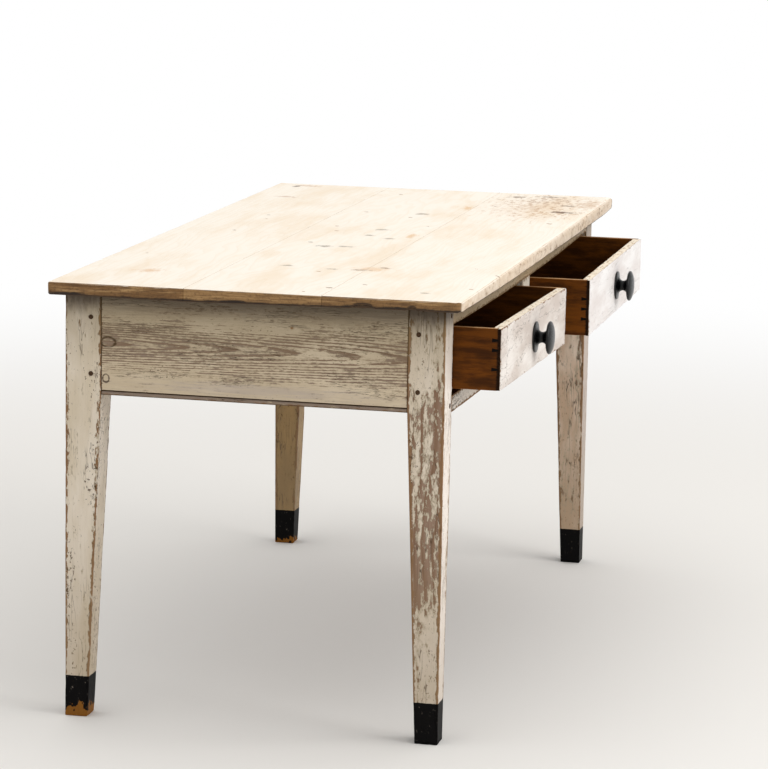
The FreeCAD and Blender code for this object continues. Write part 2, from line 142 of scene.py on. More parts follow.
def seen_directly(tree):
    """One for rays from the camera, and for mirrored and refracted ones."""
    rays = add(tree, "ShaderNodeLightPath", {}, None).outputs
    seen = rays["Is Camera Ray"]
    for kind in ("Is Glossy Ray", "Is Transmission Ray"):
        seen = add(tree, MATH, {0: seen, 1: rays[kind]}, operation="MAXIMUM")
    return seen


def pale_floor():
    """Smooth pale plaster that fades to plain white away from the table."""
    material = bpy.data.materials.new("pale_floor")
    tree = emptied(material)
    place = add(tree, "ShaderNodeTexCoord", {}, "Object")
    away = add(tree, VECTOR, {0: place}, "Value", operation="LENGTH")
    fade = step(tree, away, *floor_fade)
    white = add(tree, MATH, {0: fade, 1: seen_directly(tree)}, operation="MULTIPLY")
    matt = add(tree, "ShaderNodeBsdfPrincipled", {"Base Color": colour("#e9e6e1"), "Roughness": 0.85})
    glow = add(tree, "ShaderNodeEmission", {"Strength": 1.0})
    mixed = add(tree, "ShaderNodeMixShader", {0: white, 1: matt, 2: glow})
    add(tree, "ShaderNodeOutputMaterial", {"Surface": mixed}, None)
    return material


turns = np.linspace(0, 2 * math.pi, 96, endpoint=False)
rim = [(floor_radius * math.cos(t), floor_radius * math.sin(t), 0) for t in turns]
floor_disc = bpy.data.meshes.new("floor")
floor_disc.from_pydata(rim, [], [list(range(len(rim)))])
floor_disc.materials.append(pale_floor())
floor = placed("floor", floor_disc)

sky = bpy.data.worlds.new("sky")
sky_tree = emptied(sky)
sky_way = add(sky_tree, "ShaderNodeTexCoord", {}, "Generated")
sky_way = add(sky_tree, SEPARATE, {0: sky_way}, "Z")
light_only = add(sky_tree, RANGE, {"Value": sky_way, "To Min": sky_horizon, "To Max": sky_zenith})
sky_level = {"Value": seen_directly(sky_tree), "To Min": light_only, "To Max": 1.0}
sky_light = {"Color": (1, 1, 1, 1), "Strength": add(sky_tree, RANGE, sky_level)}
sky_light = add(sky_tree, "ShaderNodeBackground", sky_light)
add(sky_tree, "ShaderNodeOutputWorld", {"Surface": sky_light}, None)
bpy.context.scene.world = sky

lamp_light = bpy.data.lights.new("soft_lamp", "AREA")
lamp_light.size = lamp_size
lamp_light.energy = lamp_power
lamp = placed("soft_lamp", lamp_light)
lamp.location = lamp_place
lamp.rotation_euler = (lamp_target - lamp_place).to_track_quat("-Z", "Y").to_euler()


# ---- Tabletop ---------------------------------------------------------------------------
# Three pine boards glued edge to edge. Bare, and scrubbed with sand for a century: pale
# cream, rubbed round at the drawer side, ragged under the ends, with nicks and old stains.
seam_gap = 0.03 * mm
seam_ease = 0.02               # mm, as all easings are
glued_from = 20 * mm           # sides of boards that lie further in than this are glued
near_corner = 16 * mm          # radius of the corner that gets knocked
arris_lines = 0.35 * mm        # first grid line in from an arris; the next ones spread out
top_step = (6 * mm, 5 * mm, 4 * mm)
edge_places = (-762, -715, -615, -440, -300, 0, 315, 650, 762)  # mm along the drawer side
edge_extra = (0.0, 0.0, 2.0, 5.0, 6.5, 7.7, 9.2, 8.8, 6.0)      # mm by which the edge hangs lower
end_places = (-356, -240, -60, 120, 356)                        # mm across the ends
end_extra = (0.0, 0.5, 2.5, 5.0, 4.5)
back_extra = 4.5
end_chips = ((-188 * mm, 22 * mm, 6 * mm), (-271 * mm, 9 * mm, 5 * mm))     # place, half width, depth
chip_reach = 9 * mm
table_low, table_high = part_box("top_board_front")[0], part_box("top_board_back")[1]


def random_cells(cells, seed):
    """A fixed random number from 0 to 1 for each cell, given by three whole numbers."""
    mixed = cells[:, 0] * 73856093 ^ cells[:, 1] * 19349663 ^ cells[:, 2] * 83492791 ^ (seed * 2654435761)
    mixed = (mixed ^ (mixed >> 13)) * 1274126177
    return ((mixed ^ (mixed >> 16)) & 0xFFFFFF) / 0xFFFFFF


def lumps(points, size, seed):
    """Smooth random lumps from -1 to 1, as large in mm as size says along each axis."""
    scaled = points / (np.array(size) * mm)
    cells = np.floor(scaled).astype(np.int64)
    share = scaled - cells
    share = share * share * (3 - 2 * share)
    total = np.zeros(len(points))
    for corner in np.ndindex(2, 2, 2):
        weight = np.prod(np.where(np.array(corner) == 1, share, 1 - share), axis=1)
        total += weight * random_cells(cells + np.array(corner), seed)
    return 2 * total - 1


def grid_lines(low, high, step, extra=()):
    """Grid lines across a board: close together at both arrises, then a step apart."""
    middle = (low + high) / 2
    near, width = [0.0], arris_lines
    while width < step and near[-1] + width < middle - low:
        near.append(near[-1] + width)
        width *= 1.5
    count = max(1, round((high - low - 2 * near[-1]) / step))
    inner = np.linspace(low + near[-1], high - near[-1], count + 1)
    lines = np.concatenate([low + np.array(near[:-1]), inner, high - np.array(near[:-1])[::-1]])
    return np.unique(np.concatenate([lines, np.array(extra, float)]))


class Board:
    """A closed box of four-sided faces, whose points can then be worn, bent and cut to shape.
    Its corners and steps are in metres, and how it is eased, worn and swollen is in mm."""

    def __init__(self, low, high, steps, extra=((), (), ())):
        self.low, self.high = np.array(low, float), np.array(high, float)
        lines = [grid_lines(self.low[a], self.high[a], steps[a], extra[a]) for a in range(3)]
        counts = [len(line) for line in lines]
        index = np.indices(counts)
        last = np.array(counts).reshape(3, 1, 1, 1) - 1
        shell = ((index == 0) | (index == last)).any(axis=0)
        number = np.full(counts, -1)
        number[shell] = np.arange(shell.sum())
        self.points = np.stack([lines[a][index[a][shell]] for a in range(3)], axis=1)
        self.faces = np.concatenate([self.side(number, a, end) for a in range(3) for end in (0, -1)])
        inset = np.minimum(self.points - self.low, self.high - self.points)
        self.arris = np.sort(inset, axis=1)[:, 1]
        self.rest = self.points.copy()

    @staticmethod
    def side(number, axis, end):
        """The faces of one side, turned to look outwards."""
        sheet = np.take(number, end, axis=axis)
        corners = [sheet[:-1, :-1], sheet[1:, :-1], sheet[1:, 1:], sheet[:-1, 1:]]
        quads = np.stack(corners, axis=-1).reshape(-1, 4)
        return quads[:, ::-1] if (end == 0) != (axis == 1) else quads

    def ease(self, low_ease, high_ease=None):
        """Rounds the arrises; each side has its own width of rounding."""
        high_ease = low_ease if high_ease is None else high_ease
        low_ease, high_ease = np.array(low_ease) * mm, np.array(high_ease) * mm
        core = np.clip(self.points, self.low + low_ease, self.high - high_ease)
        offset = self.points - core
        reach = offset / np.where(offset < 0, low_ease, high_ease)
        length = np.maximum(np.linalg.norm(reach, axis=1), 1.0)
        self.points = core + offset / length[:, None]

    def wear(self, depth, size, seed, bare_share=0.0, reach=9):
        """Knocks random hollows out of the arrises, deepest at the arris itself."""
        margin = np.minimum(12 * mm, (self.high - self.low) / 2.01)
        core = np.clip(self.rest, self.low + margin, self.high - margin)
        inward = core - self.rest
        inward /= np.maximum(np.linalg.norm(inward, axis=1), 1e-9)[:, None]
        rough = 0.65 * lumps(self.rest, size, seed) + 0.35 * lumps(self.rest, np.array(size) / 3, seed + 1)
        hollow = np.clip(rough - bare_share, 0, 1) * np.clip(1 - self.arris / (reach * mm), 0, 1) ** 2
        self.points += inward * (depth * mm * hollow)[:, None]

    def swell(self, depth, size, seed):
        """Gentle unevenness all over, as hand-planed and shrunken wood has."""
        core = np.clip(self.rest, self.low + 1 * mm, self.high - 1 * mm)
        outward = np.sign(self.rest - core)
        inside = 0.5 * (1 + lumps(self.rest, size, seed))
        self.points -= outward * (depth * mm * inside)[:, None]

    def round_corner(self, axes, ends, radius):
        """Rounds one corner, seen along the third axis. ends are 0 for low and 1 for high."""
        axes = list(axes)
        corner = np.where(ends, self.high[axes], self.low[axes])
        sign = np.where(ends, 1, -1)
        offset = (self.points[:, axes] - (corner - sign * radius)) * sign
        within = (offset > 0).all(axis=1)
        length = np.maximum(np.linalg.norm(offset, axis=1), 1e-9)
        moved = offset * (offset.max(axis=1) / length)[:, None] * sign + corner - sign * radius
        self.points[:, axes] = np.where(within[:, None], moved, self.points[:, axes])

    def piece(self, node, suffix, material, share=0.0, body="frame", slot="painted_pine", placing=None):
        """The finished mesh as a piece that rides on a body and stands for a CAD node. share is
        from 0 to 1, for all points or each: unpainted wood on painted boards, grime on bare ones."""
        mesh = bpy.data.meshes.new(node + suffix)
        mesh.from_pydata(self.points.tolist(), [], self.faces.tolist())
        if placing is not None:
            mesh.transform(placing)
        mesh.polygons.foreach_set("use_smooth", [True] * len(mesh.polygons))
        for key, numbers in (("arris", self.arris / mm), ("share", share + np.zeros(len(self.points)))):
            mesh.attributes.new(key, "FLOAT", "POINT").data.foreach_set("value", numbers)
        mesh.materials.append(material)
        thing = placed(node + suffix, mesh)
        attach(thing, body)
        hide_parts(node)
        return thing


def along_grain(tree, grain):
    """Object coordinates in millimetres, turned so that X runs along the grain."""
    place = add(tree, "ShaderNodeTexCoord", {}, "Object")
    scaled = add(tree, VECTOR, {0: place, 1: (1 / mm,) * 3}, operation="MULTIPLY")
    apart = add(tree, SEPARATE, {0: scaled}, None).outputs
    order = {"x": "XYZ", "y": "YZX", "z": "ZXY"}[grain]
    return add(tree, "ShaderNodeCombineXYZ", {i: apart[axis] for i, axis in enumerate(order)})


def streaks(tree, place, length, width, detail=4.0, roughness=0.6, thick=None):
    """Noise from 0 to 1 with lumps of that length along the grain and width across it, in mm.
    They are as thick as they are wide, unless thick says otherwise."""
    scale = (1 / length, 1 / width, 1 / (thick or width))
    scaled = add(tree, VECTOR, {0: place, 1: scale}, operation="MULTIPLY")
    inputs = {"Vector": scaled, "Scale": 1.0, "Detail": detail, "Roughness": roughness}
    return add(tree, "ShaderNodeTexNoise", inputs)


def weighed(tree, first, *others):
    """A sum of pairs, each a value and its weight. The first may be a value alone."""
    if isinstance(first, tuple):
        first = add(tree, MATH, {0: first[0], 1: first[1]}, operation="MULTIPLY")
    for value, weight in others:
        first = add(tree, MATH, {0: value, 1: weight, 2: first}, operation="MULTIPLY_ADD")
    return first


def lay(tree, under, share, over, strength=1.0):
    """Lays one colour over another, as far as share and strength say. Hex codes will do."""
    if strength != 1.0:
        share = weighed(tree, (share, strength))
    under, over = (colour(c) if isinstance(c, str) else c for c in (under, over))
    return add(tree, "ShaderNodeMix", {0: share, 6: under, 7: over}, 2, data_type="RGBA")


def distance(tree, place, centre, scale):
    """How far a place is from a centre, once each axis is scaled."""
    moved = add(tree, VECTOR, {0: place, 1: centre}, operation="SUBTRACT")
    scaled = add(tree, VECTOR, {0: moved, 1: scale}, operation="MULTIPLY")
    return add(tree, VECTOR, {0: scaled}, "Value", operation="LENGTH")


def late_wood(tree, place, ring, pith, stretch, wander):
    """Dark late wood of each growth ring, 0 to 1. The pith is a point, in mm, and the rings
    are long ovals round it, so a face that is sawn off its axis shows pointed arches."""
    radius = distance(tree, place, pith, (1 / stretch, 1, 1))
    radius = weighed(tree, radius, (streaks(tree, place, 420, 60, detail=2.0), wander))
    phase = add(tree, MATH, {0: weighed(tree, (radius, 1 / ring))}, operation="FRACT")
    return weighed(tree, (step(tree, phase, 0.35, 0.88), step(tree, phase, 1.0, 0.9)))


def facing(tree, axis):
    """How far a face looks along an axis, from -1 to 1."""
    turned = add(tree, "ShaderNodeTexCoord", {}, "Normal")
    return add(tree, SEPARATE, {0: turned}, axis.upper())


def end_grain(tree, grain):
    """One on faces sawn across the grain."""
    square = add(tree, MATH, {0: facing(tree, grain)}, operation="ABSOLUTE")
    return step(tree, square, 0.62, 0.78)


def finished(material, base, roughness, height, depth, shine=0.4, metallic=0.0):
    """Ends a material, with bump of that depth in metres. shine is the specular level: dry,
    dusty wood has next to none."""
    tree = material.node_tree
    bump = add(tree, "ShaderNodeBump", {"Height": height, "Distance": depth, "Strength": 1.0})
    inputs = {"Base Color": base, "Roughness": roughness, "Normal": bump}
    inputs.update({"Specular IOR Level": shine, "Metallic": metallic})
    surface = add(tree, "ShaderNodeBsdfPrincipled", inputs)
    add(tree, "ShaderNodeOutputMaterial", {"Surface": surface}, None)
    return material


def blots(tree, place, ragged, wood, marks):
    """Lays ragged stains over a colour. Each mark has a centre and half sizes (along the
    grain, across it) in mm, how strong it is, and its colour. A "ring" has an open middle, and
    "flecks" are a stain that has broken up."""
    for (x, y), (along, across), strength, stain, *kind in marks:
        away = distance(tree, place, (x, y, 0), (1 / along, 1 / across, 0))
        if "ring" in kind:
            away = add(tree, MATH, {0: away, 1: 0.7}, operation="SUBTRACT")
            away = weighed(tree, (add(tree, MATH, {0: away}, operation="ABSOLUTE"), 4.0))
        uneven, spread = (7.0, 0.45) if "flecks" in kind else (2.4, 0.9)
        away = weighed(tree, away, (ragged, uneven))
        mark = step(tree, away, uneven / 2 + spread, uneven / 2 + spread - 0.8)
        wood = lay(tree, wood, mark, stain, strength)
    return wood


# Old stains and marks on the top, as blots: the largest lie at the right-hand front corner.
top_marks = (
    ((560, -245), (330, 150), 0.30, "#dcb891"),
    ((560, -240), (300, 130), 0.34, "#b98d63", "flecks"),
    ((650, -235), (150, 100), 0.30, "#8f6747", "flecks"),
    ((450, -285), (150, 75), 0.34, "#bd9058", "flecks"),
    ((620, -330), (110, 40), 0.40, "#c39a74"),
    ((474, -300), (22, 44), 0.90, "#6b4c36"),
    ((583, -294), (16, 26), 0.85, "#7a5a42"),
    ((696, -169), (26, 26), 0.80, "#7a5a42"),
    ((721, -234), (22, 36), 0.75, "#7a5a42"),
    ((-171, 25), (16, 20), 0.70, "#66553f"),
    ((-164, -17), (12, 22), 0.70, "#66553f"),
    ((2, -20), (12, 16), 0.60, "#7d674c"),
    ((91, -24), (16, 24), 0.60, "#7d674c"),
    ((-32, -63), (12, 18), 0.60, "#7d674c"),
    ((-438, 26), (10, 20), 0.60, "#7d674c"),
    ((-454, -61), (9, 18), 0.60, "#7d674c"),
    ((-676, -274), (8, 14), 0.70, "#66553f"),
    ((351, -42), (18, 22), 0.60, "#7d674c"),
    ((-576, 233), (34, 36), 0.50, "#d9a264"),
    ((715, 307), (20, 11), 0.90, "#5a3e2a"),
    ((528, 284), (16, 34), 0.45, "#b07a4a"),
    ((730, 287), (24, 44), 0.38, "#c08a58"),
    ((477, -109), (46, 18), 0.60, "#e0ad6d"),
    ((20, -96), (42, 15), 0.60, "#e0b173"),
    ((-430, -125), (32, 50), 0.42, "#e0ad72"),
    ((-450, -111), (12, 22), 0.80, "#8a6242"),
    ((-412, -145), (10, 18), 0.75, "#8a6242"),
)


def scrubbed_pine():
    """Scots pine scoured with sand: bleached early wood, honey late wood standing proud,
    warm brown end grain, brown dirt in the nicks. Matt all over."""
    material = bpy.data.materials.new("scrubbed_pine")
    tree = emptied(material)
    place = along_grain(tree, "x")
    late = late_wood(tree, place, ring=9.0, pith=(200, 40, 520), stretch=9.0, wander=70.0)
    fibre = streaks(tree, place, 46, 1.6, detail=5.0, roughness=0.7)
    cloud = step(tree, streaks(tree, place, 260, 80), 0.42, 0.72)
    wood = lay(tree, "#fbf2e4", cloud, "#f5e5cf")
    wood = lay(tree, wood, late, "#e9cfa9", 0.13)
    wood = lay(tree, wood, step(tree, fibre, 0.60, 0.86), "#d2b28b", 0.30)
    ragged = streaks(tree, place, 22, 11, detail=5.0, roughness=0.75)
    marked = blots(tree, place, ragged, wood, top_marks)
    wood = lay(tree, wood, step(tree, facing(tree, "z"), 0.3, 0.7), marked)

    # Nicks: a small ragged dent in one cell of six, each with its own size.
    cells = {0: (14.0, 14.0, 0.0), 1: ragged, 2: place}
    cells = add(tree, VECTOR, cells, operation="MULTIPLY_ADD")
    cells = add(tree, VECTOR, {0: cells, 1: (1 / 60, 1 / 100, 0)}, operation="MULTIPLY")
    cells = {"Vector": cells, "Scale": 1.0}
    cells = add(tree, "ShaderNodeTexVoronoi", cells, None, voronoi_dimensions="2D").outputs
    given = add(tree, "ShaderNodeSeparateColor", {0: cells["Color"]}, None).outputs
    size = add(tree, RANGE, {"Value": given[1], "To Min": 0.025, "To Max": 0.07})
    away = add(tree, MATH, {0: cells["Distance"], 1: size}, operation="DIVIDE")
    nick = weighed(tree, (step(tree, given[0], 0.83, 0.84), step(tree, away, 1.0, 0.6)))
    wood = lay(tree, wood, nick, lay(tree, "#5a4634", given[2], "#b98c5e"))

    # The front edge is grubby from hands, and the end grain brown, each board in its own shade.
    handled = weighed(tree, (step(tree, facing(tree, "y"), -0.35, -0.85), ragged))
    wood = lay(tree, wood, handled, "#b08e68")
    wood = lay(tree, wood, step(tree, ragged, 0.54, 0.66), "#7b5c40", handled)
    darker = add(tree, "ShaderNodeAttribute", {}, "Fac", attribute_name="share")
    across = streaks(tree, place, 40, 46, detail=5.0, roughness=0.7, thick=3.5)
    patch = streaks(tree, place, 40, 130, roughness=0.7, thick=9)
    grit = streaks(tree, place, 7, 5, roughness=0.8)
    brown = lay(tree, "#b79160", darker, "#76532c")
    brown = lay(tree, brown, step(tree, patch, 0.48, 0.70), "#cfa873", 0.6)
    brown = lay(tree, brown, step(tree, across, 0.46, 0.66), "#553a20", 0.8)
    brown = lay(tree, brown, step(tree, grit, 0.52, 0.66), "#4a3018", 0.55)
    # Painted shadow: a near-black strip along the lower edge of the end grain stands for the shadow in the
    # gap under the top.
    apart = add(tree, SEPARATE, {0: place}, None).outputs
    thicker = {"Value": apart["Y"], "From Min": -280.0, "From Max": 120.0, "To Max": 5.0}
    low = weighed(tree, apart["Z"], (add(tree, RANGE, thicker), 1.0), (across, 14.0), (cloud, -3.0))
    brown = lay(tree, brown, step(tree, low, 756.5, 753.0), "#241608")
    reach = add(tree, MATH, {0: apart["X"]}, operation="ABSOLUTE")
    at_end = step(tree, reach, table_high.x / mm - 10.0, table_high.x / mm - 5.0)
    lip = weighed(tree, facing(tree, "z"), (ragged, 0.9))
    at_end = weighed(tree, (at_end, step(tree, lip, 1.15, 0.95)))
    at_end = add(tree, MATH, {0: at_end, 1: end_grain(tree, "x")}, operation="MAXIMUM")
    base = lay(tree, wood, at_end, brown)

    # The underside was never scrubbed and is darkened further as painted shade; the ragged lower arrises are
    # as dark as it is.
    base = lay(tree, base, step(tree, facing(tree, "z"), -0.15, -0.45), "#46311c")
    height = weighed(tree, fibre, (nick, -1.4), (late, 0.5))
    return finished(material, base, 0.72, height, 0.35 * mm)


def overhang_drop(points):
    """How much thicker the top is where it stands out past the legs, full at its very edge."""
    x, y = points[:, 0], points[:, 1]
    legs_low, legs_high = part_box("leg_front_left")[0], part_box("leg_back_right")[1]
    sides = (
        (legs_low.y - y, legs_low.y - table_low.y, np.interp(x / mm, edge_places, edge_extra)),
        (y - legs_high.y, table_high.y - legs_high.y, back_extra),
        (np.abs(x) - legs_high.x, table_high.x - legs_high.x, np.interp(y / mm, end_places, end_extra)),
    )
    drop = np.zeros(len(points))
    for past, overhang, extra in sides:
        share = np.clip(past / overhang, 0, 1)
        drop = np.maximum(drop, extra * mm * share ** 2 * (3 - 2 * share))
    return drop


scrubbed = scrubbed_pine()
board_looks = {
    # low and high easing (x, y, z) of each board, then how dark its end grain is
    "top_board_front": ((3, 9, 2), (3, seam_ease, 5), 0.75),
    "top_board_middle": ((3, seam_ease, 1.5), (3, seam_ease, 2.5), 0.50),
    "top_board_back": ((3, seam_ease, 1.5), (3, 3, 3), 0.90),
}
for node, (low_ease, high_ease, dark) in board_looks.items():
    low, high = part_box(node)
    low.y += seam_gap if node != "top_board_front" else 0
    high.y -= seam_gap if node != "top_board_back" else 0
    board = Board(low, high, top_step)
    if node == "top_board_front":
        board.round_corner((0, 1), (0, 0), near_corner)
    board.ease(low_ease, high_ease)
    inset = np.minimum(board.rest - np.array(table_low), np.array(table_high) - board.rest)
    board.arris = np.sort(inset, axis=1)[:, 1]           # only the outer arrises wear
    board.wear(depth=3.2, size=(34, 26, 12), seed=11, bare_share=0.25)
    shut = board.points[:, 1].copy()
    board.swell(depth=0.5, size=(300, 90, 90), seed=21)
    board.points[:, 1] = np.where(inset[:, 1] > glued_from, shut, board.points[:, 1])
    corner = np.clip(1 - (board.rest[:, [0, 2]] - board.low[[0, 2]]).max(axis=1) / chip_reach, 0, 1)
    for place, half, depth in end_chips:
        broken = np.clip(1 - ((board.rest[:, 1] - place) / half) ** 2, 0, 1) * corner * depth
        board.points[:, [0, 2]] += broken[:, None]
    board.points[:, 2] -= overhang_drop(board.rest) * (high.z - board.points[:, 2]) / (high.z - low.z)
    piece = board.piece(node, "_scrubbed", scrubbed, dark, slot="scrubbed_pine")
    for face in piece.data.polygons:
        within = table_low.y + glued_from < face.center.y < table_high.y - glued_from
        face.use_smooth = not (within and abs(face.normal.y) > 0.9)      # glued edges stay crisp


# ---- Legs -------------------------------------------------------------------------------
# Four square pine legs, tapered below the aprons on the two inner faces. Grey-white oil
# paint, flaked off along the arrises, and black feet worn bare where mops knock them.
leg_step = (2.6 * mm, 2.6 * mm, 3.5 * mm)
foot_size = 40 * mm
taper_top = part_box("end_apron_left")[0].z
black_height = 72              # mm, as the shader reads it


class Paint:
    """How one board was painted and how the paint has aged, for the shader. Lengths in mm."""
    coat = ("#dccfbb", "#e8ddce")       # cleanest paint, in two shades that drift into each other
    stain = "#b9aa92"                   # soiled and thinned paint
    wood = ("#ad9784", "#957f6c")       # weathered wood where the paint has gone
    rubbed_wood = ("#a08060", "#775539")    # wood along the arrises, polished by hands
    bare_wood = ("#6f4a2c", "#8f653f")  # faces that were never painted
    other_coat = None                   # (colour, (x, y)): sounder paint on faces that look that way
    rings = (8.0, 7.0, 40.0)            # ring spacing, stretch along the grain, wander
    ring_loss = 0.10                    # how much more has gone over late wood
    ring_band = None                    # (low, high): only between those heights
    flake = (26, 8)                     # size of the flakes along and across the grain
    hold = 0.75                         # how well the paint has held, from 0 to 1
    soft = 0.015                        # 0.01 where paint flakes off, 0.06 where it wears thin
    band = None                         # (low, high, loss): more has gone between those heights
    rub = (4.0, 0.36)                   # how far in from an arris, and how much more has gone
    crack = (120, 9)                    # length of the cracks and the space between them
    cracks = 0.5                        # how dark the cracks are, from 0 to 1
    pits = 0.5                          # how dark the small chips are, from 0 to 1
    pit_level = 0.91                    # lower for more of them
    marks = ()                          # blots
    smoked = 0.7                        # how dark close under the top: painted shade of the overhang, with smoke and dust
    toe = None                          # black foot, and how high it has worn through
    bare_edge = None                    # colour of an unpainted upper edge

    def __init__(self, **changes):
        for key, value in changes.items():
            setattr(self, key, value)


def between(tree, value, low, high, soft):
    """One between low and high, and smoothly down to 0 outside them."""
    above = step(tree, value, low - soft, low + soft)
    return weighed(tree, (above, step(tree, value, high + soft, high - soft)))


def painted_pine(name, grain, pith, paint):
    """Old oil paint over pine. It has flaked along the grain and off the arrises, and shows
    grey weathered wood. Soft sheen on paint, none on wood."""
    material = bpy.data.materials.new(name)
    tree = emptied(material)
    place = along_grain(tree, grain)
    late = late_wood(tree, place, paint.rings[0], pith, *paint.rings[1:])
    fibre = streaks(tree, place, 60, 2.2, roughness=0.7)
    flake = streaks(tree, place, *paint.flake, detail=6.0, roughness=0.66)
    blotch = streaks(tree, place, 190, 42, detail=2.0)
    chip = streaks(tree, place, 15, 5)
    speck = streaks(tree, place, 7, 4, roughness=0.7)
    arris = add(tree, "ShaderNodeAttribute", {}, "Fac", attribute_name="arris")
    bare = add(tree, "ShaderNodeAttribute", {}, "Fac", attribute_name="share")
    up = add(tree, "ShaderNodeTexCoord", {}, "Object")
    up = weighed(tree, (add(tree, SEPARATE, {0: up}, "Z"), 1 / mm))
    uneven_up = weighed(tree, up, (flake, 30.0))
    if paint.ring_band:
        low, high = paint.ring_band
        late = weighed(tree, (late, between(tree, uneven_up, low + 15.0, high + 15.0, 12.0)))

    # How well the paint holds: high numbers keep it.
    left = weighed(
        tree, (flake, 0.95), (blotch, 0.70), (chip, 0.65), (speck, 0.50), (late, -paint.ring_loss),
    )
    ragged = weighed(tree, arris, (chip, 16.0))
    if paint.toe:
        ragged = weighed(tree, ragged, (step(tree, uneven_up, 630.0, 500.0), -2.5))
    reach, loss = paint.rub
    worn = step(tree, ragged, reach + 10.5, reach + 6.5)
    left = weighed(tree, left, (worn, -loss))
    if paint.band:
        low, high, loss = paint.band
        drift = weighed(tree, up, (blotch, 120.0))
        left = weighed(tree, left, (between(tree, drift, low + 65.0, high + 65.0, 25.0), -loss))
    if paint.other_coat:
        other_coat, way = paint.other_coat
        turned = add(tree, "ShaderNodeTexCoord", {}, "Normal")
        turned = add(tree, VECTOR, {0: turned, 1: (*way, 0)}, "Value", operation="DOT_PRODUCT")
        other_face = step(tree, turned, 0.6, 0.85)
        left = weighed(tree, left, (other_face, 0.22))
    left = weighed(tree, left, (bare, -3.0))
    over = add(tree, MATH, {0: left, 1: 2.0 - 1.3 * paint.hold}, operation="SUBTRACT")
    mask = step(tree, over, -paint.soft, paint.soft)

    tone = step(tree, streaks(tree, place, 160, 50), 0.35, 0.68)
    clean = lay(tree, paint.coat[0], tone, paint.coat[1])
    if paint.other_coat:
        clean = lay(tree, clean, other_face, other_coat)
    clean = lay(tree, clean, step(tree, fibre, 0.50, 0.80), paint.stain, 0.45)
    rubbed = lay(tree, paint.stain, step(tree, over, 0.0, 0.20), clean)
    weathered = lay(tree, paint.wood[0], fibre, paint.wood[1])
    weathered = lay(tree, weathered, late, paint.rubbed_wood[1], 0.5)
    weathered = lay(tree, weathered, worn, lay(tree, paint.rubbed_wood[0], fibre, paint.rubbed_wood[1]))
    inside = lay(tree, paint.bare_wood[0], fibre, paint.bare_wood[1])
    if paint.bare_edge:
        grubby = lay(tree, paint.bare_edge, step(tree, chip, 0.50, 0.72), "#b08d64")
        inside = lay(tree, inside, step(tree, facing(tree, "z"), 0.4, 0.7), grubby)
    weathered = lay(tree, weathered, bare, inside)
    base = lay(tree, weathered, mask, rubbed)

    # Fine cracks along the grain, where the paint has split over drying wood, and small chips.
    split = streaks(tree, place, *paint.crack, detail=2.0)
    split = add(tree, MATH, {0: split, 1: 0.5}, operation="SUBTRACT")
    split = add(tree, MATH, {0: split}, operation="ABSOLUTE")
    some = step(tree, streaks(tree, place, 130, 30, detail=1.0), 0.50, 0.6)
    crack = weighed(tree, (step(tree, split, 0.016, 0.004), some))
    crack = weighed(tree, (crack, paint.cracks))
    base = lay(tree, base, crack, "#3f2e20")
    cluster = weighed(tree, speck, (blotch, 0.5))
    pit = weighed(tree, (step(tree, cluster, paint.pit_level, paint.pit_level + 0.04), paint.pits))
    base = lay(tree, base, pit, "#4f3b2a")
    base = blots(tree, place, flake, base, paint.marks)
    # Painted shade: close under the top the colour is darkened towards brown-black, standing for the
    # overhang's shadow, with smoke and dust.
    if paint.smoked:
        base = lay(tree, base, step(tree, uneven_up, 610.0, 770.0), "#8a7854", 0.6 * paint.smoked)
        base = lay(tree, base, step(tree, uneven_up, 710.0, 752.0), "#4a3b2a", paint.smoked)

    sound = weighed(tree, mask, (pit, -1.0))
    roughness = add(tree, RANGE, {"Value": sound, "To Min": 0.8, "To Max": 0.52})
    shine = add(tree, RANGE, {"Value": sound, "To Min": 0.05, "To Max": 0.4})
    if paint.toe:
        base = lay(tree, base, step(tree, uneven_up, 440.0, 90.0), "#927c5e", 0.35)
        black = step(tree, weighed(tree, up, (chip, 2.5)), black_height + 1.8, black_height + 0.8)
        scuffed = weighed(tree, up, (streaks(tree, place, 16, 11, detail=3.0), 70.0))
        held = step(tree, scuffed, paint.toe + 34.0, paint.toe + 37.0)
        tarred = lay(tree, "#070606", step(tree, speck, 0.62, 0.76), "#7d746b")
        toe = lay(tree, lay(tree, "#6d4318", fibre, "#966427"), held, tarred)
        base = lay(tree, base, black, toe)
        shine = add(tree, RANGE, {"Value": black, "To Min": shine, "To Max": 0.07})
        mask = add(tree, MATH, {0: mask, 1: black}, operation="MAXIMUM")
    height = weighed(tree, mask, (fibre, 0.35), (crack, -1.2))
    return finished(material, base, roughness, height, 0.35 * mm, shine)


leg_paints = {
    # the pith of the log that each leg was sawn from, then its paint
    "leg_front_left": ((300, -560, -430), Paint(
        coat=("#dacbb5", "#e6d9c8"), wood=("#a88f7c", "#8d7260"), other_coat=("#efe5db", (0, -1)), hold=0.62,
        band=(220.0, 610.0, 0.17), rub=(2.5, 0.5), cracks=0.8, pits=0.75, smoked=0.95, toe=-20.0,
        marks=(((34, -715), (1.5, 40), 0.8, "#9a938a"),),
    )),
    "leg_front_right": ((300, 860, -420), Paint(
        coat=("#cdb094", "#efddca"), other_coat=("#baaba0", (0, -1)), hold=0.64, rub=(2.0, 0.4), cracks=0.8,
        pits=0.4, pit_level=0.87, smoked=1.0, toe=-8.0,
    )),
    "leg_back_left": ((200, -850, 200), Paint(
        coat=("#d8c9b1", "#e8dccb"), hold=0.78, rub=(2.0, 0.5), crack=(60, 9), cracks=0.7, pits=0.95,
        pit_level=0.87, smoked=0.95, toe=17.0,
    )),
    # Painted shade: this leg's tan coat, stain and wood stand for the shade under the table; only its faces
    # that look to +X and +Y get the plain coat.
    "leg_back_right": ((200, 560, 460), Paint(
        coat=("#b08d58", "#94774c"), stain="#82683f", wood=("#7f6442", "#6a5134"),
        other_coat=("#dccfbb", (1, 1)), hold=0.72, cracks=0.8, pits=0.7, pit_level=0.87, toe=8.0,
    )),
}
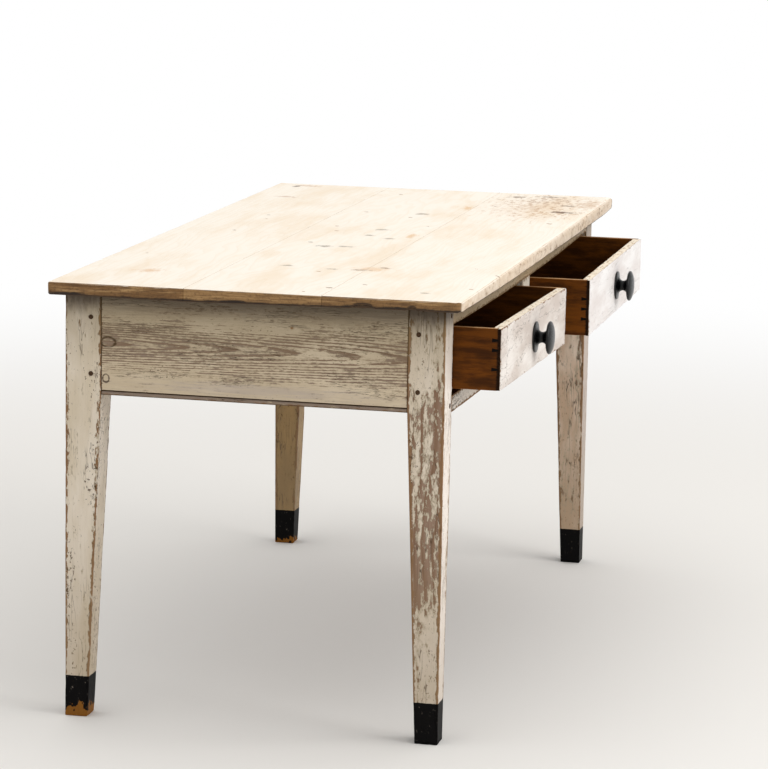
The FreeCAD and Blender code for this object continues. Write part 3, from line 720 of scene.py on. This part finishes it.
for seed, (node, (pith, paint)) in enumerate(leg_paints.items()):
    low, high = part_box(node)
    leg = Board(low, high, leg_step)
    leg.ease((1.6, 1.6, 1.6))
    leg.wear(depth=2.6, size=(13, 13, 42), seed=31 + seed, bare_share=0.1)
    leg.swell(depth=0.5, size=(60, 60, 150), seed=41 + seed)
    full = high.x - low.x
    up_taper = np.clip(leg.points[:, 2] / taper_top, 0, 1)
    scale = (foot_size + (full - foot_size) * up_taper) / full
    for axis in (0, 1):
        outer = low[axis] if low[axis] < 0 else high[axis]
        leg.points[:, axis] = outer + (leg.points[:, axis] - outer) * scale
    leg.piece(node, "_worn", painted_pine(node.replace("leg", "flaked_paint"), "z", pith, paint))


# ---- End and back aprons ----------------------------------------------------------------
# Deep pine boards tenoned into the legs. The ends have a bead along the lower edge. Their
# paint has worn back to the grain in long streaks; the inner faces were never painted.
apron_step = 3.2 * mm
bead_width = 6.5 * mm
quirk_width = 2.2 * mm
quirk_depth = 2.0 * mm
bead_lines = np.arange(0.4 * mm, 9.6 * mm, 0.4 * mm)     # grid lines up from the lower edge
shoulder_dip = 0.3 * mm        # each end stops this far inside the leg
joint_line = 1.4 * mm          # dirt and lost paint along the joint with the leg
painted_round = 4 * mm         # how far the paint goes round an arris


def beaded(board, face_x):
    """Rounds the lower edge of one face into a bead with a groove above it."""
    height = board.rest[:, 2] - board.low[2]
    outside = np.abs(board.rest[:, 0] - face_x) < 0.1 * mm
    half = bead_width / 2
    rise = np.clip(np.abs(height - half) / half, 0, 1)
    bead = half * (1 - np.sqrt(1 - rise ** 2)) * (height <= bead_width)
    across = np.abs(height - bead_width - quirk_width / 2) / (quirk_width / 2)
    quirk = quirk_depth * np.clip(1 - across ** 2, 0, 1)
    cut = np.where(outside, np.minimum(bead + quirk, quirk_depth), 0)
    board.points[:, 0] -= math.copysign(1, face_x) * cut


heart_depth = 6                # mm from the face to the pith, so the rings come out as long tongues

# Blots on the ends, placed by y and z: a grey band above the bead, three knots and a brown spot.
end_knots = (
    ((0, 588), (300, 17), 0.50, "#b5a8a0"),
    ((262, 657), (18, 12), 1.0, "#4a382a", "ring"),
    ((282, 659), (5, 15), 0.8, "#4a382a"),
    ((266, 595), (8, 10), 0.9, "#4a382a", "ring"),
    ((-58, 698), (5, 4), 1.0, "#8a5a2c"),
)
end_paint = Paint(
    coat=("#cab89b", "#dac9ae"), stain="#aa967c", wood=("#a99788", "#8d7c6d"), rings=(3.8, 26.0, 9.0),
    bare_wood=("#2e1f12", "#4a3520"), ring_loss=0.24, ring_band=(606, 690), flake=(60, 3.2), hold=0.67,
    soft=0.05, band=(612.0, 700.0, 0.14), rub=(0.5, 0.3), crack=(50, 3.4), cracks=0.85, pits=0.7,
    smoked=0.8, marks=end_knots,
)
for seed, node in enumerate(("end_apron_left", "end_apron_right")):
    low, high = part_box(node)
    face_x = low.x if low.x < 0 else high.x
    low.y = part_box("leg_front_left")[1].y - shoulder_dip
    high.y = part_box("leg_back_left")[0].y + shoulder_dip
    board = Board(low, high, (apron_step,) * 3, ((), (), low.z + bead_lines))
    board.ease((0.8, 0.2, 0.8))
    board.swell(depth=0.35, size=(60, 150, 45), seed=51 + seed)
    beaded(board, face_x)
    unpainted = (np.abs(board.rest[:, 0] - face_x) > painted_round).astype(float)
    above_edge = board.rest[:, 2] - low.z
    unpainted[above_edge < bead_width] = np.maximum(unpainted[above_edge < bead_width], 0.15)
    # The groove above the bead counts as unpainted, so it takes this apron's near-black bare wood: painted
    # shade in the groove, with dirt.
    unpainted[np.abs(above_edge - bead_width - quirk_width / 2) < quirk_width / 2] = 1
    unpainted[np.minimum(board.rest[:, 1] - low.y, high.y - board.rest[:, 1]) < joint_line] = 1
    heart = (360, 655, face_x / mm - math.copysign(heart_depth, face_x))
    board.piece(node, "_worn", painted_pine("worn_paint_" + node, "y", heart, end_paint), unpainted)

low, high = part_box("back_apron")
low.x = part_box("leg_back_left")[1].x - shoulder_dip
high.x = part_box("leg_back_right")[0].x + shoulder_dip
board = Board(low, high, (5 * mm, 4 * mm, apron_step))
board.ease((0.2, 0.9, 0.9))
board.swell(depth=0.35, size=(200, 60, 45), seed=55)
back_paint = painted_pine("worn_paint_back_apron", "x", (300, 900, 655), Paint(hold=0.66))
board.piece("back_apron", "_worn", back_paint, board.rest[:, 1] < high.y - painted_round)


# ---- Drawer rails and divider -----------------------------------------------------------
# Two rails across the front between the legs, both sagging with age, and the short upright
# that is lapped between them. Painted in front, bare behind.
rail_step = (5 * mm, 4 * mm, 3.2 * mm)
rail_pith = (0, -700, 640)
rail_paints = {
    "top_rail": Paint(
        coat=("#c6a982", "#d8bd9a"), stain="#9b8263", hold=0.68, rub=(3.0, 0.6), crack=(90, 5), cracks=0.8,
        smoked=0.55,
    ),
    "bottom_rail": Paint(
        coat=("#d6c8b8", "#e4dace"), stain="#9b8263", wood=("#8d735d", "#6f5642"), hold=0.66, rub=(4.0, 0.6),
        crack=(90, 5), cracks=0.9, pits=0.8, pit_level=0.87, smoked=0,
    ),
}


def edge_curve(node, lower):
    """The rail's lower or upper edge as a smooth curve of x, from its CAD solid."""
    points = np.array([v.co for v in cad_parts[node].data.vertices])
    front = points[np.abs(points[:, 1] - points[:, 1].min()) < 0.1 * mm]
    middle = (front[:, 2].min() + front[:, 2].max()) / 2
    edge = front[(front[:, 2] < middle) == lower]
    straight = len(np.unique(np.round(edge[:, 0], 4))) < 3
    return np.polyfit(edge[:, 0], edge[:, 2], 1 if straight else 2)


for seed, (node, paint) in enumerate(rail_paints.items()):
    low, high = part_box(node)
    low.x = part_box("leg_front_left")[1].x - shoulder_dip
    high.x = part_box("leg_front_right")[0].x + shoulder_dip
    board = Board(low, high, rail_step)
    board.ease((0.2, 1.0, 1.0))
    board.wear(depth=1.6, size=(40, 12, 12), seed=61 + seed, bare_share=0.15, reach=6)
    share = (board.points[:, 2] - low.z) / (high.z - low.z)
    under = np.polyval(edge_curve(node, True), board.points[:, 0])
    over = np.polyval(edge_curve(node, False), board.points[:, 0])
    board.points[:, 2] = under + (over - under) * share
    material = painted_pine("worn_paint_" + node, "x", rail_pith, paint)
    board.piece(node, "_worn", material, board.rest[:, 1] > low.y + 6 * mm)

low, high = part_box("drawer_divider")
low.z = np.polyval(edge_curve("bottom_rail", False), 0) - shoulder_dip
high.z = np.polyval(edge_curve("top_rail", True), 0) + shoulder_dip
board = Board(low, high, (3 * mm,) * 3)
board.ease((1, 1, 0.2))
divider_paint = painted_pine("worn_paint_divider", "z", (0, 300, -330), Paint(hold=0.8, smoked=0))
board.piece("drawer_divider", "_worn", divider_paint, board.rest[:, 1] > low.y + 12 * mm)


# ---- Pegs -------------------------------------------------------------------------------
# Riven oak pegs, driven through the leg and tenon and trimmed off by hand. Dry wood has
# shrunk round them, so each stands a little proud and no two are quite round.
peg_proud = 0.5 * mm
peg_unevenness = 0.12


def points_tree(name, sizes, shape, axis, material):
    """Geometry nodes with named inputs for sizes: one shape on each point, with its axis along
    the point's own direction. shape gives the geometry and its scale."""
    tree = bpy.data.node_groups.new(name, "GeometryNodeTree")
    tree.interface.new_socket("Geometry", in_out="INPUT", socket_type="NodeSocketGeometry")
    sockets = {}
    for size in sizes:
        sockets[size] = tree.interface.new_socket(size, in_out="INPUT", socket_type="NodeSocketFloat")
    tree.interface.new_socket("Geometry", in_out="OUTPUT", socket_type="NodeSocketGeometry")
    given = add(tree, "NodeGroupInput", {}, None).outputs
    solid, scale = shape(tree, given)
    way = add(tree, "GeometryNodeInputNamedAttribute", {"Name": "facing"}, data_type="FLOAT_VECTOR")
    turn = add(tree, "FunctionNodeAlignRotationToVector", {"Vector": way}, axis=axis)
    inputs = {"Points": given["Geometry"], "Instance": solid, "Rotation": turn, "Scale": scale}
    copies = add(tree, "GeometryNodeInstanceOnPoints", inputs)
    real = add(tree, "GeometryNodeRealizeInstances", {"Geometry": copies})
    done = add(tree, "GeometryNodeSetMaterial", {"Geometry": real, "Material": material})
    add(tree, "NodeGroupOutput", {"Geometry": done}, None)
    return tree, sockets


def peg_shape(tree, given):
    """A short rod, and a random scale that leaves it not quite round."""
    radius = weighed(tree, (given["Diameter"], 0.5))
    rod = {"Vertices": 14, "Side Segments": 1, "Fill Segments": 2}
    rod.update({"Radius": radius, "Depth": given["Length"]})
    rod = add(tree, "GeometryNodeMeshCylinder", rod, fill_type="NGON")
    low = add(tree, MATH, {0: 1.0, 1: given["Unevenness"]}, operation="SUBTRACT")
    low = add(tree, "ShaderNodeCombineXYZ", {0: low, 1: low, 2: 1.0})
    scale = {0: low, 1: (1.0, 1.0, 1.0), "Seed": 3}
    return rod, add(tree, "FunctionNodeRandomValue", scale, data_type="FLOAT_VECTOR")


def repeated(name, tree, sockets, sizes, places, facings, body, stands_for=(), placing=None):
    """Runs a tree on points with directions, and keeps the result as a plain mesh piece."""
    mesh = bpy.data.meshes.new(name + "_points")
    mesh.from_pydata([tuple(p) for p in places], [], [])
    flat = np.array(facings, float).ravel()
    mesh.attributes.new("facing", "FLOAT_VECTOR", "POINT").data.foreach_set("vector", flat)
    thing = placed(name, mesh)
    modifier = thing.modifiers.new(name, "NODES")
    modifier.node_group = tree
    for key, size in sizes.items():
        modifier[sockets[key].identifier] = size
    seen = thing.evaluated_get(bpy.context.evaluated_depsgraph_get())
    thing.data = bpy.data.meshes.new_from_object(seen)
    thing.modifiers.clear()
    thing.data.name = name
    if placing is not None:
        thing.data.transform(placing)
    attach(thing, body)
    if stands_for:
        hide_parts(*stands_for)


def oak_end_grain():
    """Riven oak seen end on: dark brown, speckled by its open pores. Matt."""
    material = bpy.data.materials.new("oak_end_grain")
    tree = emptied(material)
    pores = streaks(tree, along_grain(tree, "x"), 2.5, 2.5, detail=3.0)
    base = lay(tree, "#2a1c12", pores, "#5d4734")
    return finished(material, base, 0.75, pores, 0.3 * mm, shine=0.1)


def solid_spans(node):
    """The lowest and highest corners of each separate solid in a CAD node."""
    welded = bmesh.new()
    welded.from_mesh(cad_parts[node].data)
    bmesh.ops.remove_doubles(welded, verts=welded.verts, dist=0.001 * mm)
    welded.verts.ensure_lookup_table()
    unseen, spans = set(range(len(welded.verts))), []
    while unseen:
        island, queue = [], [unseen.pop()]
        while queue:
            vertex = welded.verts[queue.pop()]
            island.append(vertex.co.copy())
            for edge in vertex.link_edges:
                other = edge.other_vert(vertex).index
                if other in unseen:
                    unseen.remove(other)
                    queue.append(other)
        corners = np.array(island)
        spans.append((Vector(corners.min(axis=0)), Vector(corners.max(axis=0))))
    welded.free()
    return spans


peg_sizes = ("Diameter", "Length", "Unevenness")
pegs, peg_sockets = points_tree("pegs", peg_sizes, peg_shape, "Z", oak_end_grain())
for node in ("apron_pegs", "rail_pegs"):
    places, facings = [], []
    for low, high in solid_spans(node):
        middle, size = (low + high) / 2, high - low
        axis = max(range(3), key=lambda a: size[a])
        outward = Vector((0, 0, 0))
        outward[axis] = math.copysign(1, middle[axis])
        places.append(middle + outward * peg_proud)
        facings.append(outward)
    sizes = dict(zip(peg_sizes, (min(size), max(size), peg_unevenness)))
    repeated(node + "_driven", pegs, peg_sockets, sizes, places, facings, "frame", [node])


# ---- Drawers ----------------------------------------------------------------------------
# Each front has lapped dovetails to both sides. The fronts are painted, with a bare top edge; the rest is
# unfinished pine, gone orange-brown outside, and darkened inside as painted shade.
lap = 5.5 * mm                 # front of the lapped dovetails
side_thickness = 11 * mm
front_thickness = 16 * mm
back_thickness = 12 * mm
bottom_thickness = 8 * mm
bottom_inset = 8 * mm
grimy_reach = 4 * mm           # hands have blackened the sides this far back from the front
front_corner = 7 * mm          # radius of each front's worn upper right corner
left_tilt = math.atan2(18.0, 625.0)      # the left drawer hangs 18 mm lower at its right end
drawer_step = (3.2 * mm, 3.2 * mm, 3.0 * mm)
rebate_line = 0.05 * mm        # the two grid lines that make the rebate's shoulder


def aged_pine(name, grain, pith, pale, deep, dark, top=None, rub=0.5):
    """Unpainted pine gone orange-brown with age and handling. Late wood is deeper, and dirt
    lies along the grain. Dull sheen from old wax and grease. top is the colour of a rubbed top
    edge, and rub is how much paler the other arrises are."""
    material = bpy.data.materials.new(name)
    tree = emptied(material)
    place = along_grain(tree, grain)
    late = late_wood(tree, place, ring=6.0, pith=pith, stretch=30.0, wander=12.0)
    fibre = streaks(tree, place, 60, 2.4, detail=5.0, roughness=0.7)
    cloud = step(tree, streaks(tree, place, 70, 16), 0.36, 0.66)
    wood = lay(tree, pale, cloud, deep)
    wood = lay(tree, wood, late, dark, 0.15)
    wood = lay(tree, wood, step(tree, fibre, 0.48, 0.78), dark, 0.45)
    if top:
        upward = weighed(tree, facing(tree, "z"), (cloud, -0.35))
        wood = lay(tree, wood, step(tree, upward, 0.45, 0.9), top)
    grimy = add(tree, "ShaderNodeAttribute", {}, "Fac", attribute_name="share")
    wood = lay(tree, wood, step(tree, weighed(tree, grimy, (fibre, 1.6)), 0.9, 1.9), dark)
    arris = add(tree, "ShaderNodeAttribute", {}, "Fac", attribute_name="arris")
    wood = lay(tree, wood, step(tree, weighed(tree, arris, (fibre, 2.0)), 2.6, 1.4), "#8a5426", rub)
    wood = lay(tree, wood, end_grain(tree, grain), dark, 0.7)
    return finished(material, wood, 0.6, weighed(tree, fibre, (late, 0.6)), 0.3 * mm, shine=0.08)


def rebated(board):
    """Narrows the back of a drawer front, so that both sides run into it as far as the lap."""
    width = board.high[0] - board.low[0]
    behind = board.rest[:, 1] > board.low[1] + lap + rebate_line / 2
    narrowed = side_thickness + (board.points[:, 0] - board.low[0]) * (width - 2 * side_thickness) / width
    board.points[:, 0] = np.where(behind, board.low[0] + narrowed, board.points[:, 0])


side_wood = aged_pine(
    "aged_pine_drawer_sides", "y", (300, 620, -330), "#6d3c0d", "#452409", dark="#1c0d04", top="#c09568",
)
# Painted shade: the insides' colours are darkened far below the sides' to stand for the shade within the
# drawers.
shaded_inside_wood = aged_pine("aged_pine_drawer_insides", "x", (0, 900, 380), "#46240f", "#301607", dark="#180a03")
front_look = {
    "bare_wood": ("#150c07", "#2a180c"), "soft": 0.05, "flake": (24, 12), "rub": (1.2, 0.3), "smoked": 0,
    "bare_edge": "#f3e6d2",
}
front_paint = {
    "left_drawer": painted_pine("rubbed_paint_left_front", "x", (-350, -760, 560), Paint(
        coat=("#cbbeb4", "#e9e2db"), stain="#b9aaa0", wood=("#ad9a8c", "#8f7b6c"), hold=0.79, crack=(70, 14),
        marks=(((-604, -401), (1.2, 60), 0.6, "#8d7c6e"),), **front_look,
    )),
    "right_drawer": painted_pine("rubbed_paint_right_front", "x", (340, -860, 560), Paint(
        coat=("#e0d8d4", "#f2efed"), stain="#cabfb8", wood=("#b3a194", "#97857a"), hold=0.84, cracks=0.35,
        pits=0.35, **front_look,
    )),
}


class Drawer:
    """A drawer's own frame: X across it, Y to its back and Z up from its lower left corner."""

    def __init__(self, name, tilt):
        self.name = name
        level_low, level_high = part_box("right_drawer_front")
        self.height = level_high.z - level_low.z
        low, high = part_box(name + "_front")
        self.width = (high.x - low.x - self.height * math.sin(tilt)) / math.cos(tilt)
        self.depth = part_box(name + "_side_left")[1].y - low.y
        corner = Vector((low.x, low.y, high.z - self.height * math.cos(tilt)))
        self.placing = Matrix.Translation(corner) @ Matrix.Rotation(tilt, 4, "Y")

    def board(self, low, high, steps=drawer_step, extra=((), (), ())):
        board = Board(low, high, steps, extra)
        board.ease((0.7, 0.7, 0.7))
        return board

    def add_piece(self, board, suffix, material, slot, share=0.0):
        node = self.name + "_" + suffix
        board.piece(node, "_aged", material, share, self.name, slot, self.placing)


drawers = [Drawer("left_drawer", left_tilt), Drawer("right_drawer", 0.0)]
for seed, drawer in enumerate(drawers):
    width, depth, height = drawer.width, drawer.depth, drawer.height
    shoulder = (lap, lap + rebate_line)
    front = drawer.board((0, 0, 0), (width, front_thickness, height), extra=((), shoulder, ()))
    front.wear(depth=2.2, size=(26, 12, 16), seed=71 + seed, bare_share=0.2, reach=7)
    rebated(front)
    front.round_corner((0, 2), (1, 1), front_corner)
    drawer.add_piece(front, "front", front_paint[drawer.name], "painted_pine", front.rest[:, 1] > 1.2 * mm)
    for side, low_x in (("left", 0), ("right", width - side_thickness)):
        board = drawer.board((low_x, lap, 0), (low_x + side_thickness, depth, height))
        inset = np.minimum(board.rest - board.low, board.high - board.rest)
        board.arris = inset[:, [0, 2]].max(axis=1)       # the ends are held in the joints
        board.wear(depth=1.5, size=(12, 40, 12), seed=81 + seed, bare_share=0.2, reach=5)
        grimy = np.clip(1 - (board.rest[:, 1] - lap) / grimy_reach, 0, 1)
        drawer.add_piece(board, "side_" + side, side_wood, "bare_pine", grimy)
    over_bottom = bottom_inset + bottom_thickness
    low_x, high_x = side_thickness - 0.2 * mm, width - side_thickness + 0.2 * mm
    board = drawer.board((low_x, depth - back_thickness, over_bottom), (high_x, depth, height))
    drawer.add_piece(board, "back", shaded_inside_wood, "bare_pine")
    low_x, high_x = side_thickness - 0.3 * mm, width - side_thickness + 0.3 * mm
    board = drawer.board(
        (low_x, front_thickness - 0.3 * mm, bottom_inset), (high_x, depth, over_bottom),
        (6 * mm, 6 * mm, 4 * mm),
    )
    drawer.add_piece(board, "bottom", shaded_inside_wood, "bare_pine")


# ---- Dovetail pins ----------------------------------------------------------------------
# The pins of front and back, seen as dark end grain in the faces of the sides. Hand-cut:
# narrow where they start, wide where they end, and a hair proud of the shrunken side.
pin_sizes = {
    "Thickness": side_thickness, "Length": front_thickness - lap, "Narrow": 3.0 * mm, "Wide": 6.5 * mm,
}
pin_proud = 0.12 * mm
pin_shares = {
    # as shares of the drawer's height; the back has the same pins on both drawers
    "left_drawer": (0.34, 0.65, 0.81),
    "right_drawer": (0.30, 0.48, 0.66),
}
back_pin_shares = (0.36, 0.70)


def pin_shape(tree, given):
    """A wedge that widens along its direction."""
    size = add(tree, "ShaderNodeCombineXYZ", {0: given["Thickness"], 1: given["Length"], 2: 1.0})
    block = add(tree, "GeometryNodeMeshCube", {"Size": size, "Vertices Y": 3})
    apart = add(tree, SEPARATE, {0: add(tree, "GeometryNodeInputPosition", {})}, None).outputs
    share = add(tree, MATH, {0: apart["Y"], 1: given["Length"]}, operation="DIVIDE")
    share = add(tree, MATH, {0: share, 1: 0.5}, operation="ADD")
    tall = add(tree, RANGE, {"Value": share, "To Min": given["Narrow"], "To Max": given["Wide"]})
    tall = weighed(tree, (apart["Z"], tall))
    place = add(tree, "ShaderNodeCombineXYZ", {0: apart["X"], 1: apart["Y"], 2: tall})
    return add(tree, "GeometryNodeSetPosition", {"Geometry": block, "Position": place}), (1.0, 1.0, 1.0)


pin_wood = aged_pine("pine_end_grain_pins", "x", (0, 620, -330), "#150a04", "#0d0603", "#060301", rub=0)
pins, pin_sockets = points_tree("dovetail_pins", pin_sizes, pin_shape, "Y", pin_wood)
for drawer in drawers:
    places, facings = [], []
    for x in (side_thickness / 2 - pin_proud, drawer.width - side_thickness / 2 + pin_proud):
        for share in pin_shares[drawer.name]:
            places.append((x, (lap + front_thickness) / 2, share * drawer.height))
            facings.append((0, 1, 0))
        for share in back_pin_shares:
            places.append((x, drawer.depth - back_thickness / 2, share * drawer.height))
            facings.append((0, -1, 0))
    repeated(
        drawer.name + "_dovetail_pins", pins, pin_sockets, pin_sizes, places, facings,
        drawer.name, placing=drawer.placing,
    )


# ---- Knobs ------------------------------------------------------------------------------
# Beech turned in one piece, stained black and waxed: a rose against the drawer front, a
# waisted neck and a domed outer disc. The lathe's fine rings show under the wax.
knob_rose = 27.5 * mm
knob_rose_thickness = 3.5 * mm
knob_neck = 9.5 * mm
knob_hollow = 24.0 * mm        # radius of the axis that the neck's hollow turns round
knob_disc_start = 23.5 * mm
knob_rim = 2.9 * mm            # half the thickness of the outer disc's rim
knob_dome_start = 26.7 * mm
knob_radius = 29.0 * mm
knob_length = 34.5 * mm
knob_segments = 72


def arc_points(centre, radii, start, end, count):
    """Points of an elliptical arc, as (distance from the drawer front, radius), in degrees."""
    turns = np.radians(np.linspace(start, end, count))
    return [(centre[0] + radii[0] * math.cos(t), centre[1] + radii[1] * math.sin(t)) for t in turns]


def knob_profile():
    """From the back of the rose, round both discs, to the tip of the dome."""
    rose = knob_rose_thickness / 2
    waist = (knob_rose_thickness + knob_disc_start) / 2
    reach = waist - knob_rose_thickness
    dome = (knob_length - knob_dome_start, knob_radius - 1.0 * mm)
    return (
        [(0.0, 0.0), (0.0, knob_rose - rose)]
        + arc_points((rose, knob_rose - rose), (rose, rose), 180, 20, 9)[1:]
        + arc_points((waist, knob_hollow), (reach, knob_hollow - knob_neck), 200, 340, 25)
        + arc_points((knob_disc_start + knob_rim, knob_radius - knob_rim), (knob_rim, knob_rim), 165, 35, 10)
        + arc_points((knob_dome_start, 0), dome, 62, 0, 18)
    )


def ebonised_beech():
    """Black-stained beech, waxed. Fine turning rings follow the profile, and brown-black pores
    show through the stain. Satin, with a soft highlight."""
    material = bpy.data.materials.new("ebonised_beech")
    tree = emptied(material)
    ring = add(tree, "ShaderNodeAttribute", {}, "Fac", attribute_name="profile")
    wave = add(tree, MATH, {0: weighed(tree, (ring, 4.2))}, operation="SINE")
    pores = streaks(tree, along_grain(tree, "x"), 5, 1.2)
    base = lay(tree, "#050506", step(tree, pores, 0.56, 0.78), "#171513", 0.5)
    roughness = add(tree, RANGE, {"Value": pores, "To Min": 0.18, "To Max": 0.40})
    return finished(material, base, roughness, weighed(tree, pores, (wave, 0.15)), 0.12 * mm, shine=0.28)


ebony_black = ebonised_beech()
profile = knob_profile()
lengths = np.concatenate([[0], np.cumsum([math.dist(a, b) for a, b in zip(profile, profile[1:])])])
turns = np.linspace(0, 2 * math.pi, knob_segments, endpoint=False)
rings = len(profile) - 2
for drawer in drawers:
    points = [
        (drawer.width / 2 + radius * math.cos(t), -distance, drawer.height / 2 + radius * math.sin(t))
        for distance, radius in profile[1:-1] for t in turns
    ]
    faces = [
        (r * knob_segments + i, (r + 1) * knob_segments + i,
         (r + 1) * knob_segments + (i + 1) % knob_segments, r * knob_segments + (i + 1) % knob_segments)
        for r in range(rings - 1) for i in range(knob_segments)
    ]
    for ring, tip in ((0, profile[0]), (rings - 1, profile[-1])):
        points.append((drawer.width / 2, -tip[0], drawer.height / 2))
        faces += [
            (ring * knob_segments + i, ring * knob_segments + (i + 1) % knob_segments, len(points) - 1)
            for i in range(knob_segments)
        ]
    node = drawer.name + "_knob"
    mesh = bpy.data.meshes.new(node)
    mesh.from_pydata(points, [], faces)
    turned = np.concatenate([np.repeat(lengths[1:-1], knob_segments), [lengths[0], lengths[-1]]]) / mm
    mesh.attributes.new("profile", "FLOAT", "POINT").data.foreach_set("value", turned)
    shell = bmesh.new()
    shell.from_mesh(mesh)
    bmesh.ops.recalc_face_normals(shell, faces=shell.faces)
    shell.to_mesh(mesh)
    shell.free()
    mesh.transform(drawer.placing)
    mesh.polygons.foreach_set("use_smooth", [True] * len(mesh.polygons))
    mesh.materials.append(ebony_black)
    knob = placed(node + "_turned", mesh)
    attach(knob, drawer.name)
    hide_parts(node)


# ---- Hidden woodwork --------------------------------------------------------------------
# Runners, guides, kickers, stops and fixing blocks: rough pine strips glued and nailed
# under the top, never finished. Their CAD solids are copied with the sharp edges taken off.
strip_ease = 0.8 * mm
strip_wood = aged_pine("rough_pine_strips", "y", (-40, 700, -260), "#8d6238", "#74492a", dark="#3f2412")
block_wood = aged_pine("rough_pine_blocks", "x", (-40, 500, -260), "#8d6238", "#74492a", dark="#3f2412")


def eased_copy(node, material):
    """A welded copy of a CAD solid with small bevels, in place of it."""
    shell = bmesh.new()
    shell.from_mesh(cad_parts[node].data)
    bmesh.ops.remove_doubles(shell, verts=shell.verts, dist=0.002 * mm)
    bmesh.ops.dissolve_limit(shell, angle_limit=math.radians(1), verts=shell.verts, edges=shell.edges)
    mesh = bpy.data.meshes.new(node + "_rough")
    shell.to_mesh(mesh)
    shell.free()
    mesh.materials.clear()
    mesh.materials.append(material)
    mesh.attributes.new("arris", "FLOAT", "POINT").data.foreach_set("value", [9.0] * len(mesh.vertices))
    thing = placed(node + "_rough", mesh)
    bevel = thing.modifiers.new("arrises", "BEVEL")
    bevel.width = strip_ease
    bevel.segments = 2
    bevel.limit_method = "ANGLE"
    bevel.angle_limit = math.radians(40)
    seen = thing.evaluated_get(bpy.context.evaluated_depsgraph_get())
    thing.data = bpy.data.meshes.new_from_object(seen)
    thing.modifiers.clear()
    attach(thing, "frame")
    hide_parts(node)


for node in sorted(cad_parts):
    if node.startswith(("runner_", "guide_left", "guide_right", "kicker_")):
        eased_copy(node, strip_wood)
for node in ("fixing_blocks", "drawer_stops"):
    eased_copy(node, block_wood)


# ---- Nails and screws -------------------------------------------------------------------
# Cut nails and wood screws of plain iron, rusted brown. Their CAD solids keep their shape.
def rusted_iron():
    """Plain iron with a thin even rust: dark brown, rough, a little metal left."""
    material = bpy.data.materials.new("rusted_iron")
    tree = emptied(material)
    bloom = streaks(tree, along_grain(tree, "x"), 3, 3, detail=5.0)
    base = lay(tree, "#2b1d16", bloom, "#5d3a24")
    return finished(material, base, 0.7, bloom, 0.1 * mm, shine=0.5, metallic=0.4)


iron = rusted_iron()
for node in ("guide_nails", "top_screws", "left_drawer_nails", "right_drawer_nails"):
    for material_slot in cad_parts[node].material_slots:
        material_slot.material = iron
